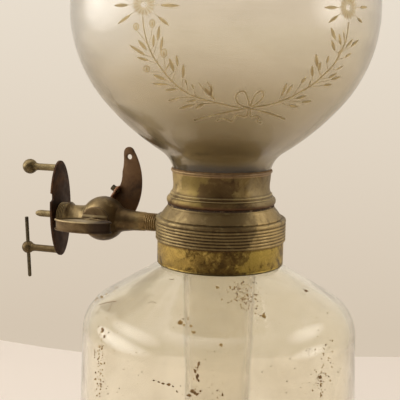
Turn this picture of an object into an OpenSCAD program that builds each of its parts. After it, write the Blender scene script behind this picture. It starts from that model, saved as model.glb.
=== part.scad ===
// Hydrogen lamp: a gas jar below, a water globe above it whose long tail reaches
// down into the jar, and between them a brass collar that carries a gas cock with
// its jet, two spark posts on an oval plate, and a pull lever on the cock's key.
// Millimetres. +Z is up, the origin is the centre of the jar's flat underside, and
// the gas cock points along -X.

/* [Gas jar] */
// Outer radius of the jar just above its foot
jar_foot_r = 78; // [60:0.5:95]
// Outer radius of the jar's wall where the shoulder starts
jar_wall_r = 74; // [60:0.5:95]
// Height of the wall where the shoulder starts
jar_wall_h = 153.3; // [100:0.5:220]
// Radius that rounds the wall into the shoulder
shoulder_r = 20; // [12:0.5:26]
// Slope of the shoulder above the horizontal, in degrees
shoulder_pitch = 31; // [24:1:40]
// Outer radius of the jar's neck
jar_neck_r = 31.2; // [29.5:0.1:33]
// Radius that rounds the shoulder into the neck
jar_neck_fillet = 2; // [1:0.5:4]
// Thickness of the jar's glass
jar_glass_t = 3; // [2:0.1:4]
// Thickness of the jar's base
jar_base_t = 6; // [4:0.5:12]
// Rounding of the foot's edge
foot_round = 4; // [2:0.5:6]

/* [Jar ferrule and collar] */
// Thickness of the cement between the jar's neck and its ferrule
jar_cement_t = 1.1; // [0.8:0.1:2]
// Wall of the jar ferrule
ferrule_wall = 1.65; // [1:0.05:2.5]
// Height of the jar ferrule
ferrule_h = 13; // [10:0.5:18]
// Length of the glass neck inside the ferrule
neck_in_ferrule = 9; // [6:0.5:9.5]
// How far the ridged band stands proud of the ferrule
band_proud = 1; // [0.6:0.1:2]
// Height of the ridged band
band_h = 9.6; // [9:0.1:14]
// Number of turned ridges on the band
ridge_count = 6; // [3:1:8]
// Depth of the grooves between the ridges
ridge_depth = 0.5; // [0.2:0.1:0.8]
// Height of the domed part above the band
dome_h = 8.8; // [6:0.1:14]
// Radius of the collar at the top of the dome
dome_top_r = 28.6; // [27.8:0.1:30]
// Bore of the collar, the gas space round the globe's tail
collar_bore_r = 24.5; // [24:0.1:25.5]
// Thickness of the leather washer between the collar and the globe ferrule
washer_t = 0.8; // [0.5:0.1:1.5]

/* [Globe ferrule] */
// How far the moulded ring at the foot of the globe ferrule stands out past the dome's top
ring_proud = 0.6; // [0.2:0.1:2]
// Height of the moulded ring
ring_h = 4; // [2.5:0.1:5]
// Radius of the waist above the ring
waist_r = 25.8; // [25.7:0.1:27]
// Radius just under the lip
under_lip_r = 26.4; // [26:0.05:28]
// Radius of the lip's plain band
lip_r = 27.05; // [26.9:0.05:29]
// Height of the globe ferrule above the washer
globe_ferrule_h = 18.4; // [17:0.1:24]
// Length of the threaded nose that screws into the collar
nose_len = 6; // [4:0.5:7]

/* [Water globe] */
// Radius of the bowl's section at its widest and above
bowl_r = 72.6; // [60:0.1:85]
// Radius of the flatter lower part of the bowl's section
bowl_low_r = 129.8; // [100:0.1:180]
// Outer radius of the glass where it leaves the ferrule's lip
throat_r = 26.1; // [25.5:0.1:26.6]
// Radius of the fillet between the throat and the bowl
throat_fillet = 15.2; // [10:0.1:20]
// Flare of the glass where it leaves the lip, in degrees from upright
throat_flare = 13.3; // [8:0.1:30]
// Direction in which the fillet gives way to the lower part, below the horizontal, in degrees
throat_turn = 57.7; // [50:0.1:65]
// Direction in which the lower part gives way to the bowl, below the horizontal, in degrees
bowl_turn = 40.7; // [30:0.1:50]
// Thickness of the globe's glass
globe_glass_t = 2.4; // [1.8:0.1:3]
// Outer radius of the glass neck that is cemented in the ferrule
globe_neck_r = 22.6; // [22:0.1:22.8]
// Outer radius of the tail just under the neck
tail_top_r = 20.8; // [18:0.1:21.4]
// Outer radius of the tail half way down
tail_mid_r = 17.8; // [14:0.1:20]
// Outer radius of the tail's open end
tail_end_r = 15.5; // [12:0.1:18]
// Height of the tail's open end above the jar's underside
tail_end_z = 28; // [12:1:60]
// Outer radius of the filler neck
mouth_r = 16; // [12:0.5:20]
// Height of the straight part of the filler neck
mouth_h = 11; // [9:0.5:20]
// Radius of the fillet between the bowl and the filler neck
mouth_fillet = 8; // [4:0.5:12]

/* [Filler mouth and lid] */
// Thickness of the cement in the mouth ferrule
mouth_cement_t = 1; // [0.8:0.1:2]
// Wall of the mouth ferrule
mouth_ferrule_wall = 1.9; // [1:0.1:3]
// Thickness of the mouth ferrule's top lip
mouth_lip_t = 1.5; // [1:0.1:2.5]
// Wall of the lid
lid_wall = 1.3; // [0.8:0.1:2]
// Depth of the lid's skirt
lid_skirt = 7; // [4:0.5:9]
// Height of the lid's dome
lid_dome_h = 5; // [3:0.5:8]
// Height of the lid's knob
knob_h = 14; // [10:0.5:20]
// Radius of the lid's knob
knob_r = 5.6; // [4:0.1:8]
// Radius of the lid's vent hole
vent_r = 0.9; // [0.5:0.1:1.5]

/* [Gas cock] */
// Height of the cock's axis above the collar's lower rim
tap_rise = 18.75; // [18.2:0.05:19.5]
// Distance of the cock's ball from the vessel's axis
cock_s = 69.5; // [64:0.5:80]
// Radius of the cock's ball
ball_r = 12.6; // [11.5:0.1:14]
// Radius of the threaded end in the collar
inlet_r = 4.9; // [4.5:0.1:5.2]
// Length of the threaded end
inlet_len = 16; // [13:0.5:18]
// Radius of the inlet pipe where it meets the ball
inlet_root_r = 6.4; // [5.5:0.1:7]
// Radius of the outlet pipe
outlet_r = 6.4; // [5.5:0.1:7]
// Distance from the ball's centre to the end of the outlet's shoulder
outlet_len = 21.9; // [20:0.1:26]
// Radius of the outlet's shoulder
outlet_shoulder_r = 8; // [7.5:0.1:9]
// Radius of the gas way
gas_way_r = 1.6; // [1:0.1:2]
// Radius of the outlet's threaded nose
outlet_nose_r = 4.5; // [4:0.1:5]
// Length of the ring nut behind the plate
ring_nut_len = 4.8; // [3.5:0.1:6]
// Radius of the ring nut
ring_nut_r = 7.5; // [6.5:0.1:8]

/* [Jet] */
// Radius of the jet's barrel
jet_r = 1.95; // [1.6:0.05:2.5]
// Length of the jet in front of its flange
jet_len = 13; // [9:0.5:15]
// Length of the jet's tapered tip
jet_taper = 2.5; // [1.5:0.5:4]
// Thickness of the jet's flange
jet_flange_t = 1.4; // [1:0.1:2]
// Radius of the jet's mouth
jet_mouth_r = 0.5; // [0.3:0.1:0.8]

/* [Electrode plate and posts] */
// Half the height of the oval plate
plate_half_h = 27.6; // [25.5:0.1:32]
// Half the width of the oval plate
plate_half_w = 11.2; // [9.5:0.1:13]
// Thickness of the oval plate
plate_t = 1.4; // [1:0.1:2]
// Height of the plate's centre above the cock's axis
plate_rise = 3.9; // [2:0.1:5]
// Height of the notch's middle above the plate's centre
notch_rise = 7.6; // [5:0.1:10]
// Width of the notch in the plate's edge
notch_w = 4.1; // [2:0.1:6]
// Depth of the notch in the plate's edge
notch_depth = 2.6; // [1.5:0.1:3.5]
// Height of the upper post above the cock's axis
upper_post_rise = 27.2; // [24:0.1:28]
// Depth of the lower post below the cock's axis
lower_post_drop = 20.8; // [17.5:0.1:21]
// Radius of the posts' rods
post_r = 2; // [1.5:0.1:2.3]
// Length of the upper post from the plate to its ball's centre
upper_post_len = 18.8; // [14:0.1:24]
// Radius of the upper post's ball
upper_ball_r = 4.3; // [3.5:0.1:5]
// Length of the lower post from the plate to its ball's centre
lower_post_len = 21; // [16:0.1:26]
// Radius of the lower post's ball
lower_ball_r = 3.65; // [3.2:0.05:5]
// Radius of the posts' tenons in the plate
tenon_r = 1.2; // [0.8:0.1:1.4]

/* [Spark rod] */
// Radius of the spark rod
spark_rod_r = 1.05; // [0.6:0.05:1.2]
// Length of the spark rod
spark_rod_len = 36.6; // [28:0.1:36.8]
// Lean of the spark rod from upright, in degrees
spark_lean = 4; // [0:1:12]

/* [Key and pull lever] */
// Radius of the key's plug at the front of the ball
plug_front_r = 6.2; // [5.4:0.1:6.5]
// Radius of the key's plug at the back of the ball
plug_back_r = 4.6; // [4:0.1:5.3]
// Radius of the key's head flange
key_head_r = 8.2; // [6.8:0.1:9]
// Thickness of the key's head flange
key_head_t = 2.2; // [1.5:0.1:3]
// Length of the round neck between the head flange and the thumb-piece
key_neck_len = 6.3; // [2:0.1:8]
// Half the length of the oval thumb-piece
thumb_half_len = 16.8; // [12:0.1:20]
// Half the depth of the oval thumb-piece
thumb_half_depth = 6.8; // [5:0.1:10]
// Thickness of the thumb-piece
thumb_t = 6.2; // [4:0.1:7]
// Rounding of the thumb-piece's edge
thumb_edge = 0.8; // [0.4:0.1:1.2]
// Across flats of the key's square tail
tail_square = 5.2; // [4:0.1:5.6]
// Thickness of the thick washer between the ball and the lever
key_washer_t = 3.6; // [2.5:0.1:5]
// Radius of the thick washer
key_washer_r = 6; // [5:0.1:7]
// Thickness of the lever's sheet
lever_t = 1.2; // [0.8:0.1:1.6]
// Radius of the lever's hub
lever_hub_r = 6.6; // [5.5:0.1:7.5]
// Radius of the eye at the lever's tip
eye_r = 1.45; // [1:0.05:2]
// Depth of the lug that is bent forward from the lever's edge
lug_depth = 4.2; // [3:0.1:4.4]
// Across flats of the key's nut
nut_flats = 8; // [7:0.1:10]
// Height of the key's nut
nut_h = 3; // [2:0.1:4]
// Radius of the thread that carries the nut
nut_thread_r = 2.3; // [1.8:0.1:2.5]
// Radius of the small lug screw
lug_screw_r = 0.9; // [0.6:0.1:1.1]
// Distance of the lug screw from the lug's upper end
lug_screw_inset = 2.9; // [2.6:0.1:5]

/* [Fits] */
// Clearance between two seated round faces
seat_gap = 0.05; // [0.03:0.01:0.1]
// Clearance between two flat faces that meet
face_gap = 0.1; // [0.05:0.01:0.15]
// Clearance of the key's plug in the ball
plug_gap = 0.05; // [0.03:0.01:0.08]
// Clearance of the lid over its ferrule
lid_gap = 0.35; // [0.3:0.05:0.5]
// Gap between the jar's shoulder and the ferrule's lower rim
rim_gap = 0.4; // [0.3:0.1:1]

/* [Hidden] */
$fn = 96;

arc_steps = 10;

// Jar: the shoulder's arc ends where the straight slope starts.
shoulder_turn = 90 - shoulder_pitch;
shoulder_c = [jar_wall_r - shoulder_r, jar_wall_h];
slope_start = shoulder_c + shoulder_r * [cos(shoulder_turn), sin(shoulder_turn)];
// The neck fillet touches the slope and the upright neck.
neck_c_x = jar_neck_r + jar_neck_fillet;
neck_c_z = slope_start[1] + jar_neck_fillet * cos(shoulder_pitch)
    + (slope_start[0] + jar_neck_fillet * sin(shoulder_pitch) - neck_c_x) * tan(shoulder_pitch);

// Heights up the axis.
ferrule_in_r = jar_neck_r + jar_cement_t;
collar_z = slope_start[1] + (slope_start[0] - ferrule_in_r) * tan(shoulder_pitch) + rim_gap;
ferrule_r = ferrule_in_r + ferrule_wall;
ferrule_top = collar_z + ferrule_h;
jar_neck_top = collar_z + neck_in_ferrule;
band_z = ferrule_top + face_gap;
band_r = ferrule_r + band_proud;
band_top = band_z + band_h;
dome_top = band_top + dome_h;
spigot_z = jar_neck_top + face_gap;
tap_z = collar_z + tap_rise;
ring_z = dome_top + washer_t;
ring_r = dome_top_r + ring_proud;
lip_z = ring_z + globe_ferrule_h;

// Globe: going up, the section is a fillet, a flat arc, a rounder arc and the mouth's
// fillet, each touching the next.
throat_c = [throat_r + throat_fillet * cos(throat_flare), lip_z + 0.2 - throat_fillet * sin(throat_flare)];
bowl_low_c = throat_c - (bowl_low_r + throat_fillet) * [cos(throat_turn), -sin(throat_turn)];
bowl_c = bowl_low_c + (bowl_low_r - bowl_r) * [cos(bowl_turn), -sin(bowl_turn)];
mouth_reach = bowl_r + mouth_fillet;
mouth_turn = acos((mouth_r + mouth_fillet - bowl_c[0]) / mouth_reach);
mouth_z = bowl_c[1] + mouth_reach * sin(mouth_turn);
mouth_top = mouth_z + mouth_h;
cement_r = collar_bore_r - 0.2;
neck_low_z = ring_z + 2.5;
neck_high_z = lip_z - 4;
tail_top_z = ring_z;
tail_mid_z = (tail_top_z + tail_end_z) / 2;

// Mouth ferrule and lid.
mouth_in_r = mouth_r + mouth_cement_t + seat_gap;
mouth_out_r = mouth_in_r + mouth_ferrule_wall;
mouth_lip_z = mouth_top + face_gap;
mouth_rim_z = mouth_lip_z + mouth_lip_t;
lid_in_r = mouth_out_r + lid_gap;
lid_r = lid_in_r + lid_wall;
lid_z = mouth_rim_z + face_gap;
lid_top = lid_z + lid_wall + lid_dome_h;

// Stations along the cock, measured from the vessel's axis towards -X.
inlet_s = collar_bore_r + 2.5;
shoulder_s = cock_s + outlet_len;
ring_nut_s = shoulder_s + face_gap;
plate_s = ring_nut_s + ring_nut_len + face_gap;
plate_front_s = plate_s + plate_t;
nose_end_s = plate_front_s + 0.8;
jet_s = nose_end_s + face_gap;
jet_tip_s = jet_s + jet_flange_t + jet_len;
plate_z = tap_z + plate_rise;
jet_stem_r = 2.4;
jet_stem_len = 5;

// Stations along the key, measured from the cock's axis towards +Y.
ball_front_y = -10.2;
ball_back_y = 10.6;
head_y = ball_front_y - face_gap;
thumb_y = head_y - key_head_t - key_neck_len - thumb_half_depth;
washer_y = ball_back_y + face_gap;
lever_y = washer_y + key_washer_t + face_gap;
nut_y = lever_y + lever_t + face_gap;
tail_end_y = nut_y + nut_h + 1;

// The lever's outline: a horn between two arcs, in the key's own frame, where u
// points to +X and v up from the plug's axis.
horn_outer_c = [-18.65, 19.4];
horn_outer_r = 35.7;
horn_inner_c = [-25.2, 33];
horn_inner_r = 31;
horn_tip_c = [9, 36.6];
horn_tip_r = 3.2;
eye_c = [9.35, 34.1];
fold_a = [3.4, 17.4];
fold_b = [-1.8, 9.2];
fold_run = fold_b - fold_a;
fold_len = norm(fold_run);
fold_turn = atan2(fold_run[1], fold_run[0]);
// How far the lug's outer face stands out of the plate's folded edge.
lug_proud = 0.2;
// How far the lug's ends and its root stay inside the plate's own faces.
lug_inset = 0.3;

function arc(c, r, from, to, steps = arc_steps) =
    [for (i = [0:steps]) let (a = from + (to - from) * i / steps) c + r * [cos(a), sin(a)]];
function reversed(points) = [for (i = [len(points) - 1:-1:0]) points[i]];
function ellipse(half_x, half_y, steps = 72) =
    [for (i = [0:steps - 1]) let (a = 360 * i / steps) [half_x * cos(a), half_y * sin(a)]];

// A closed outline turned about the vessel's axis.
module lathe(points) rotate_extrude() polygon(points);

// An outline of [station, radius] points turned about the cock's axis.
module tap_lathe(points, z = tap_z)
    translate([0, 0, z]) rotate([0, -90, 0]) rotate_extrude() polygon([for (p = points) [p[1], p[0]]]);

// A rod along the cock's axis from one station to another.
module tap_rod(r, from, to, z = tap_z)
    translate([-from, 0, z]) rotate([0, -90, 0]) cylinder(r = r, h = to - from);

// Places its children at the key's axis, with their own z along +Y.
module on_key(y) translate([-cock_s, y, tap_z]) rotate([-90, 0, 0]) children();

// Outer side of the jar's glass, moved inwards by t, from the foot to the neck's rim.
function jar_side(t) = concat(
    arc(shoulder_c, shoulder_r - t, 0, shoulder_turn),
    arc([neck_c_x, neck_c_z], jar_neck_fillet + t, 180 + shoulder_turn, 180, 5),
    [[jar_neck_r - t, jar_neck_top]]
);

module jar() {
    foot_c = [jar_foot_r - foot_round, foot_round];
    color([0.86, 0.83, 0.72, 0.4])
    lathe(concat(
        [[0, 0]],
        arc(foot_c, foot_round, -90, 0, 6),
        jar_side(0),
        reversed(jar_side(jar_glass_t)),
        [[jar_foot_r - jar_glass_t, jar_base_t + foot_round]],
        arc([foot_c[0] - jar_glass_t, jar_base_t + foot_round], foot_round, 0, -90, 6),
        [[0, jar_base_t]]
    ));
}

module jar_cement() {
    color([0.42, 0.33, 0.24])
    lathe([
        [jar_neck_r + seat_gap, neck_c_z + face_gap], [ferrule_in_r - seat_gap, neck_c_z + face_gap],
        [ferrule_in_r - seat_gap, jar_neck_top], [jar_neck_r + seat_gap, jar_neck_top]
    ]);
}

module jar_ferrule() {
    bead = 0.7;
    color([0.55, 0.44, 0.22])
    lathe(concat(
        [[ferrule_in_r, collar_z]],
        arc([ferrule_r - bead, collar_z + bead], bead, -90, 0, 5),
        [[ferrule_r, ferrule_top], [ferrule_in_r, ferrule_top]]
    ));
}

// The turned ridges, from the foot of the band to its top.
function ridge_points() = [
    for (i = [0:ridge_count - 1])
        let (pitch = band_h / ridge_count, z = band_z + (i + 0.5) * pitch)
            for (a = [-90:30:90])
                [band_r - ridge_depth + ridge_depth * cos(a), z + pitch / 2 * 0.92 * sin(a)]
];

// The dome: a round bead on top of the band, a small groove, a cone up to the joint
// and a narrow rim round its top.
function dome_points() = concat(
    arc([band_r - 1.4, band_top + 1.15], 1.4, -50, 100, 12),
    [[band_r - 2.55, band_top + 2.5], [band_r - 2.4, band_top + 2.85]],
    [[dome_top_r + 0.3, dome_top - 0.95], [dome_top_r, dome_top]]
);

module collar_body() {
    spigot_r = ferrule_in_r - seat_gap;
    spigot_bore = jar_neck_r - jar_glass_t + 0.4;
    color([0.45, 0.37, 0.22])
    difference() {
        lathe(concat(
            [[spigot_bore, spigot_z], [spigot_r, spigot_z], [spigot_r, band_z]],
            [[band_r - ridge_depth, band_z]],
            ridge_points(),
            dome_points(),
            [[collar_bore_r, dome_top], [collar_bore_r, band_z + 1], [spigot_bore, band_z - 1]]
        ));
        tap_rod(inlet_r + seat_gap, collar_bore_r - 10, band_r + 5);
    }
}

module joint_washer() {
    color([0.33, 0.22, 0.14])
    lathe([
        [collar_bore_r + 0.1, dome_top + 0.01], [dome_top_r - 0.3, dome_top + 0.01],
        [dome_top_r - 0.3, ring_z - 0.01], [collar_bore_r + 0.1, ring_z - 0.01]
    ]);
}

module globe_ferrule() {
    nose_r = collar_bore_r - 0.15;
    bore = cement_r;
    nose_bore = globe_neck_r + 0.3;
    ring_mid = ring_z + ring_h / 2;
    waist_z = ring_z + ring_h + 5;
    color([0.5, 0.41, 0.24])
    lathe(concat(
        [[nose_bore, ring_z - nose_len], [nose_r, ring_z - nose_len], [nose_r, ring_z]],
        [for (a = [-90:15:90]) [ring_r - 1.4 + 1.4 * cos(a), ring_mid + ring_h / 2 * sin(a)]],
        [[ring_r - 1.5, ring_z + ring_h + 0.2], [ring_r - 1.4, ring_z + ring_h + 0.6]],
        [[ring_r - 2, ring_z + ring_h + 0.75], [ring_r - 2, ring_z + ring_h + 2]],
        [[ring_r - 2.6, ring_z + ring_h + 2.2], [waist_r + 0.2, ring_z + ring_h + 3.8]],
        [[waist_r, waist_z], [waist_r + 0.2, waist_z + 3.6], [under_lip_r, lip_z - 1.4]],
        [[lip_r - 0.1, lip_z - 1.1], [lip_r, lip_z - 0.9], [lip_r, lip_z - 0.25], [lip_r - 0.25, lip_z]],
        [[throat_r + 0.25, lip_z], [throat_r + 0.25, lip_z - 0.4], [bore, lip_z - 2.6]],
        [[bore, ring_z + 0.8], [nose_bore, ring_z]]
    ));
}

module globe_cement() {
    color([0.42, 0.33, 0.24])
    lathe([
        [globe_neck_r + seat_gap, neck_low_z], [cement_r - seat_gap, neck_low_z],
        [cement_r - seat_gap, neck_high_z], [globe_neck_r + seat_gap, neck_high_z]
    ]);
}

// Outer side of the globe's glass, moved inwards by t, from the tail's end to the mouth.
function globe_side(t) = concat(
    [[tail_end_r - t, tail_end_z], [tail_mid_r - t, tail_mid_z], [tail_top_r - t, tail_top_z]],
    [[globe_neck_r - t, neck_low_z], [globe_neck_r - t, neck_high_z]],
    arc(throat_c, throat_fillet + t, 180 - throat_flare, 180 - throat_turn),
    arc(bowl_low_c, bowl_low_r - t, -throat_turn, -bowl_turn, 12),
    arc(bowl_c, bowl_r - t, -bowl_turn, mouth_turn, 40),
    arc([mouth_r + mouth_fillet, mouth_z], mouth_fillet + t, 180 + mouth_turn, 180, 6),
    [[mouth_r - t, mouth_top]]
);

module globe() {
    color([0.72, 0.7, 0.63, 0.5])
    lathe(concat(globe_side(0), reversed(globe_side(globe_glass_t))));
}

module mouth_ferrule() {
    foot_z = mouth_z + face_gap;
    bead = 1.1;
    color([0.5, 0.41, 0.24])
    lathe(concat(
        [[mouth_in_r, foot_z]],
        [for (a = [-90:30:90]) [mouth_out_r + 0.9 * cos(a), foot_z + bead + bead * sin(a)]],
        [[mouth_out_r, mouth_rim_z], [mouth_r - globe_glass_t, mouth_rim_z]],
        [[mouth_r - globe_glass_t, mouth_lip_z], [mouth_in_r, mouth_lip_z]]
    ));
}

module mouth_cement() {
    color([0.42, 0.33, 0.24])
    lathe([
        [mouth_r + seat_gap, mouth_z + 0.6], [mouth_in_r - seat_gap, mouth_z + 0.6],
        [mouth_in_r - seat_gap, mouth_top], [mouth_r + seat_gap, mouth_top]
    ]);
}

// Section of the lid's dome, moved inwards by t.
function lid_dome(t, steps = 10) = [
    for (i = [0:steps])
        let (a = 90 * i / steps) [(lid_r - t) * cos(a), lid_z + lid_wall - t + lid_dome_h * sin(a)]
];

module filler_lid() {
    stem_r = 2;
    vent_x = lid_r * 0.55;
    color([0.5, 0.41, 0.24])
    difference() {
        lathe(concat(
            [[lid_in_r, lid_z - lid_skirt], [lid_r + 0.6, lid_z - lid_skirt], [lid_r + 0.6, lid_z - lid_skirt + 1.2]],
            [[lid_r, lid_z - lid_skirt + 1.6], [lid_r, lid_z]],
            [for (p = lid_dome(0)) if (p[0] > stem_r + seat_gap) p],
            [[stem_r + seat_gap, lid_top], [stem_r + seat_gap, lid_z], [lid_in_r, lid_z]]
        ));
        translate([vent_x, 0, lid_z - 1]) cylinder(r = vent_r, h = lid_dome_h + 5, $fn = 24);
    }
}

module lid_knob() {
    stem_r = 2;
    foot_z = lid_top + face_gap;
    color([0.5, 0.41, 0.24])
    lathe(concat(
        [[0, lid_z + 0.2], [stem_r, lid_z + 0.2], [stem_r, foot_z]],
        [[4.2, foot_z], [4.4, foot_z + 1], [2.6, foot_z + 1.8], [2.2, foot_z + 3.4]],
        arc([0, foot_z + knob_h - knob_r], knob_r, -60, 90, 12)
    ));
}

module cock_body() {
    meet_r = 7.6;
    meet_turn = asin(meet_r / ball_r);
    reach = ball_r * cos(meet_turn);
    color([0.45, 0.37, 0.22])
    difference() {
        tap_lathe(concat(
            [[inlet_s, 0], [inlet_s, inlet_r], [inlet_s + inlet_len, inlet_r]],
            [[inlet_s + inlet_len + 1, inlet_r + 0.3], [cock_s - reach - 4, inlet_root_r - 0.1]],
            [[cock_s - reach - 1.9, inlet_root_r + 0.3], [cock_s - reach - 0.7, inlet_root_r + 0.8]],
            [for (a = [180 - meet_turn:-8:meet_turn]) [cock_s + ball_r * cos(a), ball_r * sin(a)]],
            [[cock_s + reach, meet_r], [cock_s + reach + 0.8, outlet_r + 0.6], [cock_s + reach + 2.2, outlet_r + 0.2]],
            [[cock_s + reach + 5, outlet_r], [shoulder_s - 3, outlet_r]],
            [[shoulder_s - 0.9, outlet_shoulder_r], [shoulder_s, outlet_shoulder_r]],
            [[shoulder_s, outlet_nose_r], [nose_end_s, outlet_nose_r], [nose_end_s, 0]]
        ));
        tap_rod(gas_way_r, inlet_s - 1, nose_end_s + 1);
        tap_rod(jet_stem_r + seat_gap, nose_end_s - jet_stem_len - 0.5, nose_end_s + 1);
        on_key(ball_front_y - 0.01)
            cylinder(r1 = plug_front_r + plug_gap, r2 = plug_back_r + plug_gap, h = ball_back_y - ball_front_y + 0.02);
        on_key(ball_front_y - 10) translate([-ball_r, -ball_r, 0]) cube([2 * ball_r, 2 * ball_r, 10]);
        on_key(ball_back_y) translate([-ball_r, -ball_r, 0]) cube([2 * ball_r, 2 * ball_r, 10]);
    }
}

module ring_nut() {
    grooves = 5;
    pitch = ring_nut_len / grooves;
    color([0.36, 0.29, 0.17])
    tap_lathe(concat(
        [[ring_nut_s, outlet_nose_r + seat_gap], [ring_nut_s, ring_nut_r - 0.4]],
        [for (i = [0:grooves - 1]) each [
            [ring_nut_s + (i + 0.2) * pitch, ring_nut_r], [ring_nut_s + (i + 0.8) * pitch, ring_nut_r],
            [ring_nut_s + (i + 1) * pitch, ring_nut_r - 0.4]
        ]],
        [[ring_nut_s + ring_nut_len, outlet_nose_r + seat_gap]]
    ));
}

module electrode_plate() {
    color([0.24, 0.18, 0.13])
    difference() {
        translate([-plate_s, 0, plate_z]) rotate([0, -90, 0]) linear_extrude(plate_t) difference() {
            polygon(ellipse(plate_half_h, plate_half_w));
            translate([notch_rise - notch_w / 2, -plate_half_w - 2]) square([notch_w, notch_depth + 2]);
        }
        tap_rod(outlet_nose_r + seat_gap, plate_s - 1, plate_front_s + 1);
        tap_rod(tenon_r + seat_gap, plate_s - 1, plate_front_s + 1, tap_z + upper_post_rise);
        tap_rod(tenon_r + seat_gap, plate_s - 1, plate_front_s + 1, tap_z - lower_post_drop);
    }
}

module jet_nozzle() {
    flange_r = outlet_nose_r;
    barrel_s = jet_s + jet_flange_t;
    color([0.42, 0.35, 0.22])
    difference() {
        tap_lathe([
            [jet_s - jet_stem_len, 0], [jet_s - jet_stem_len, jet_stem_r], [jet_s, jet_stem_r],
            [jet_s, flange_r], [barrel_s, flange_r], [barrel_s + 0.6, jet_r],
            [jet_tip_s - jet_taper, jet_r], [jet_tip_s - 0.3, jet_r * 0.62], [jet_tip_s, jet_r * 0.5], [jet_tip_s, 0]
        ]);
        tap_rod(gas_way_r * 0.75, jet_s - jet_stem_len - 1, jet_tip_s - jet_taper);
        tap_rod(jet_mouth_r, jet_tip_s - jet_taper - 1, jet_tip_s + 1);
    }
}

// A post: tenon in the plate, rod and ball, with a short flare where they meet.
module post(z, len, ball) {
    ball_s = plate_front_s + len;
    root_s = plate_front_s + face_gap / 2;
    tap_lathe(concat(
        [[plate_s, 0], [plate_s, tenon_r], [root_s, tenon_r], [root_s, post_r]],
        [[ball_s - ball - 1.3, post_r], [ball_s - ball - 0.3, post_r + 0.12], [ball_s - ball * 0.86, post_r + 0.35]],
        [for (a = [140:-10:0]) [ball_s + ball * cos(a), ball * sin(a)]]
    ), z);
}

module upper_post() {
    color([0.5, 0.42, 0.26]) post(tap_z + upper_post_rise, upper_post_len, upper_ball_r);
}

module lower_post() {
    color([0.5, 0.42, 0.26])
    difference() {
        post(tap_z - lower_post_drop, lower_post_len, lower_ball_r);
        at_spark_rod() cylinder(r = spark_rod_r + seat_gap, h = 4 * lower_ball_r, center = true);
    }
}

// Places its children at the middle of the spark rod, along the rod.
module at_spark_rod()
    translate([-plate_front_s - lower_post_len, 0, tap_z - lower_post_drop]) rotate([spark_lean, 0, 0]) children();

module spark_rod() {
    straight = spark_rod_len - spark_rod_r;
    color([0.16, 0.13, 0.1])
    at_spark_rod() {
        translate([0, 0, spark_rod_len / 2 - straight]) cylinder(r = spark_rod_r, h = straight);
        translate([0, 0, spark_rod_len / 2 - straight]) sphere(r = spark_rod_r);
    }
}

module thumb_piece() {
    translate([-cock_s, thumb_y, tap_z])
    hull() {
        translate([0, 0, thumb_edge - thumb_t / 2])
            linear_extrude(thumb_t - 2 * thumb_edge) polygon(ellipse(thumb_half_len, thumb_half_depth, 48));
        translate([0, 0, -thumb_t / 2])
            linear_extrude(thumb_t) polygon(ellipse(thumb_half_len - thumb_edge, thumb_half_depth - thumb_edge, 48));
    }
}

module cock_key() {
    stem_len = key_neck_len + 2.5;
    color([0.5, 0.41, 0.24])
    difference() {
        union() {
            on_key(ball_front_y) cylinder(r1 = plug_front_r, r2 = plug_back_r, h = ball_back_y - ball_front_y);
            on_key(head_y - 0.5) cylinder(r = plug_front_r, h = 0.6);
            on_key(head_y - key_head_t) cylinder(r = key_head_r, h = key_head_t);
            on_key(head_y - key_head_t - stem_len) cylinder(r = thumb_t / 2 * 0.96, h = stem_len + 0.1);
            thumb_piece();
            on_key(ball_back_y - 0.1)
                translate([-tail_square / 2, -tail_square / 2, 0]) cube([tail_square, tail_square, nut_y - face_gap - ball_back_y]);
            on_key(nut_y - face_gap - 0.5) cylinder(r = nut_thread_r, h = tail_end_y - nut_y + 0.5);
        }
        translate([-cock_s, 0, tap_z]) rotate([0, 90, 0]) cylinder(r = gas_way_r, h = 3 * ball_r, center = true);
    }
}

module square_hole(h) {
    side = tail_square + 2 * seat_gap;
    translate([-side / 2, -side / 2, -1]) cube([side, side, h + 2]);
}

module key_washer() {
    color([0.4, 0.33, 0.2])
    on_key(washer_y) difference() {
        cylinder(r = key_washer_r, h = key_washer_t);
        square_hole(key_washer_t);
    }
}

// The horn's flat outline, in (u, v). Its outer arc runs into the tip's arc at 32 degrees.
module horn_outline() {
    polygon(concat(
        arc(horn_outer_c, horn_outer_r, -36, 28, 14),
        arc(horn_tip_c, horn_tip_r, 32, 175, 10),
        arc(horn_inner_c, horn_inner_r, 4, -24, 10),
        [fold_a, fold_b, [-4, 0], [0, -3], [4, -3]]
    ));
    circle(r = lever_hub_r);
}

// Places its children at the cock's axis with x to +X, y up and z towards -Y.
module lever_frame(y) translate([-cock_s, y, tap_z]) rotate([90, 0, 0]) children();

module horn_lever() {
    lug_y = lever_y + lever_t;
    color([0.22, 0.15, 0.1])
    difference() {
        union() {
            lever_frame(lug_y) linear_extrude(lever_t) horn_outline();
            lever_frame(lug_y) translate([fold_a[0], fold_a[1], 0]) rotate([0, 0, fold_turn])
                translate([lug_inset, -lug_proud, lug_inset])
                    cube([fold_len - 2 * lug_inset, lever_t, lever_t + lug_depth - lug_inset]);
        }
        lever_frame(lug_y + 1) translate([eye_c[0], eye_c[1], 0]) cylinder(r = eye_r, h = lever_t + 2);
        on_key(lever_y) square_hole(lever_t);
        lug_screw_at() translate([0, 0, -2]) cylinder(r = lug_screw_r + seat_gap, h = lever_t + 6, $fn = 24);
    }
}

// Places its children where the screw leaves the lug's outer face, z pointing away from it.
module lug_screw_at() {
    spot = fold_a + lug_screw_inset * fold_run / fold_len;
    lever_frame(lever_y + lever_t) translate([spot[0], spot[1], lever_t + lug_depth / 2])
        rotate([0, 0, fold_turn]) rotate([90, 0, 0]) translate([0, 0, lug_proud]) children();
}

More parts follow.
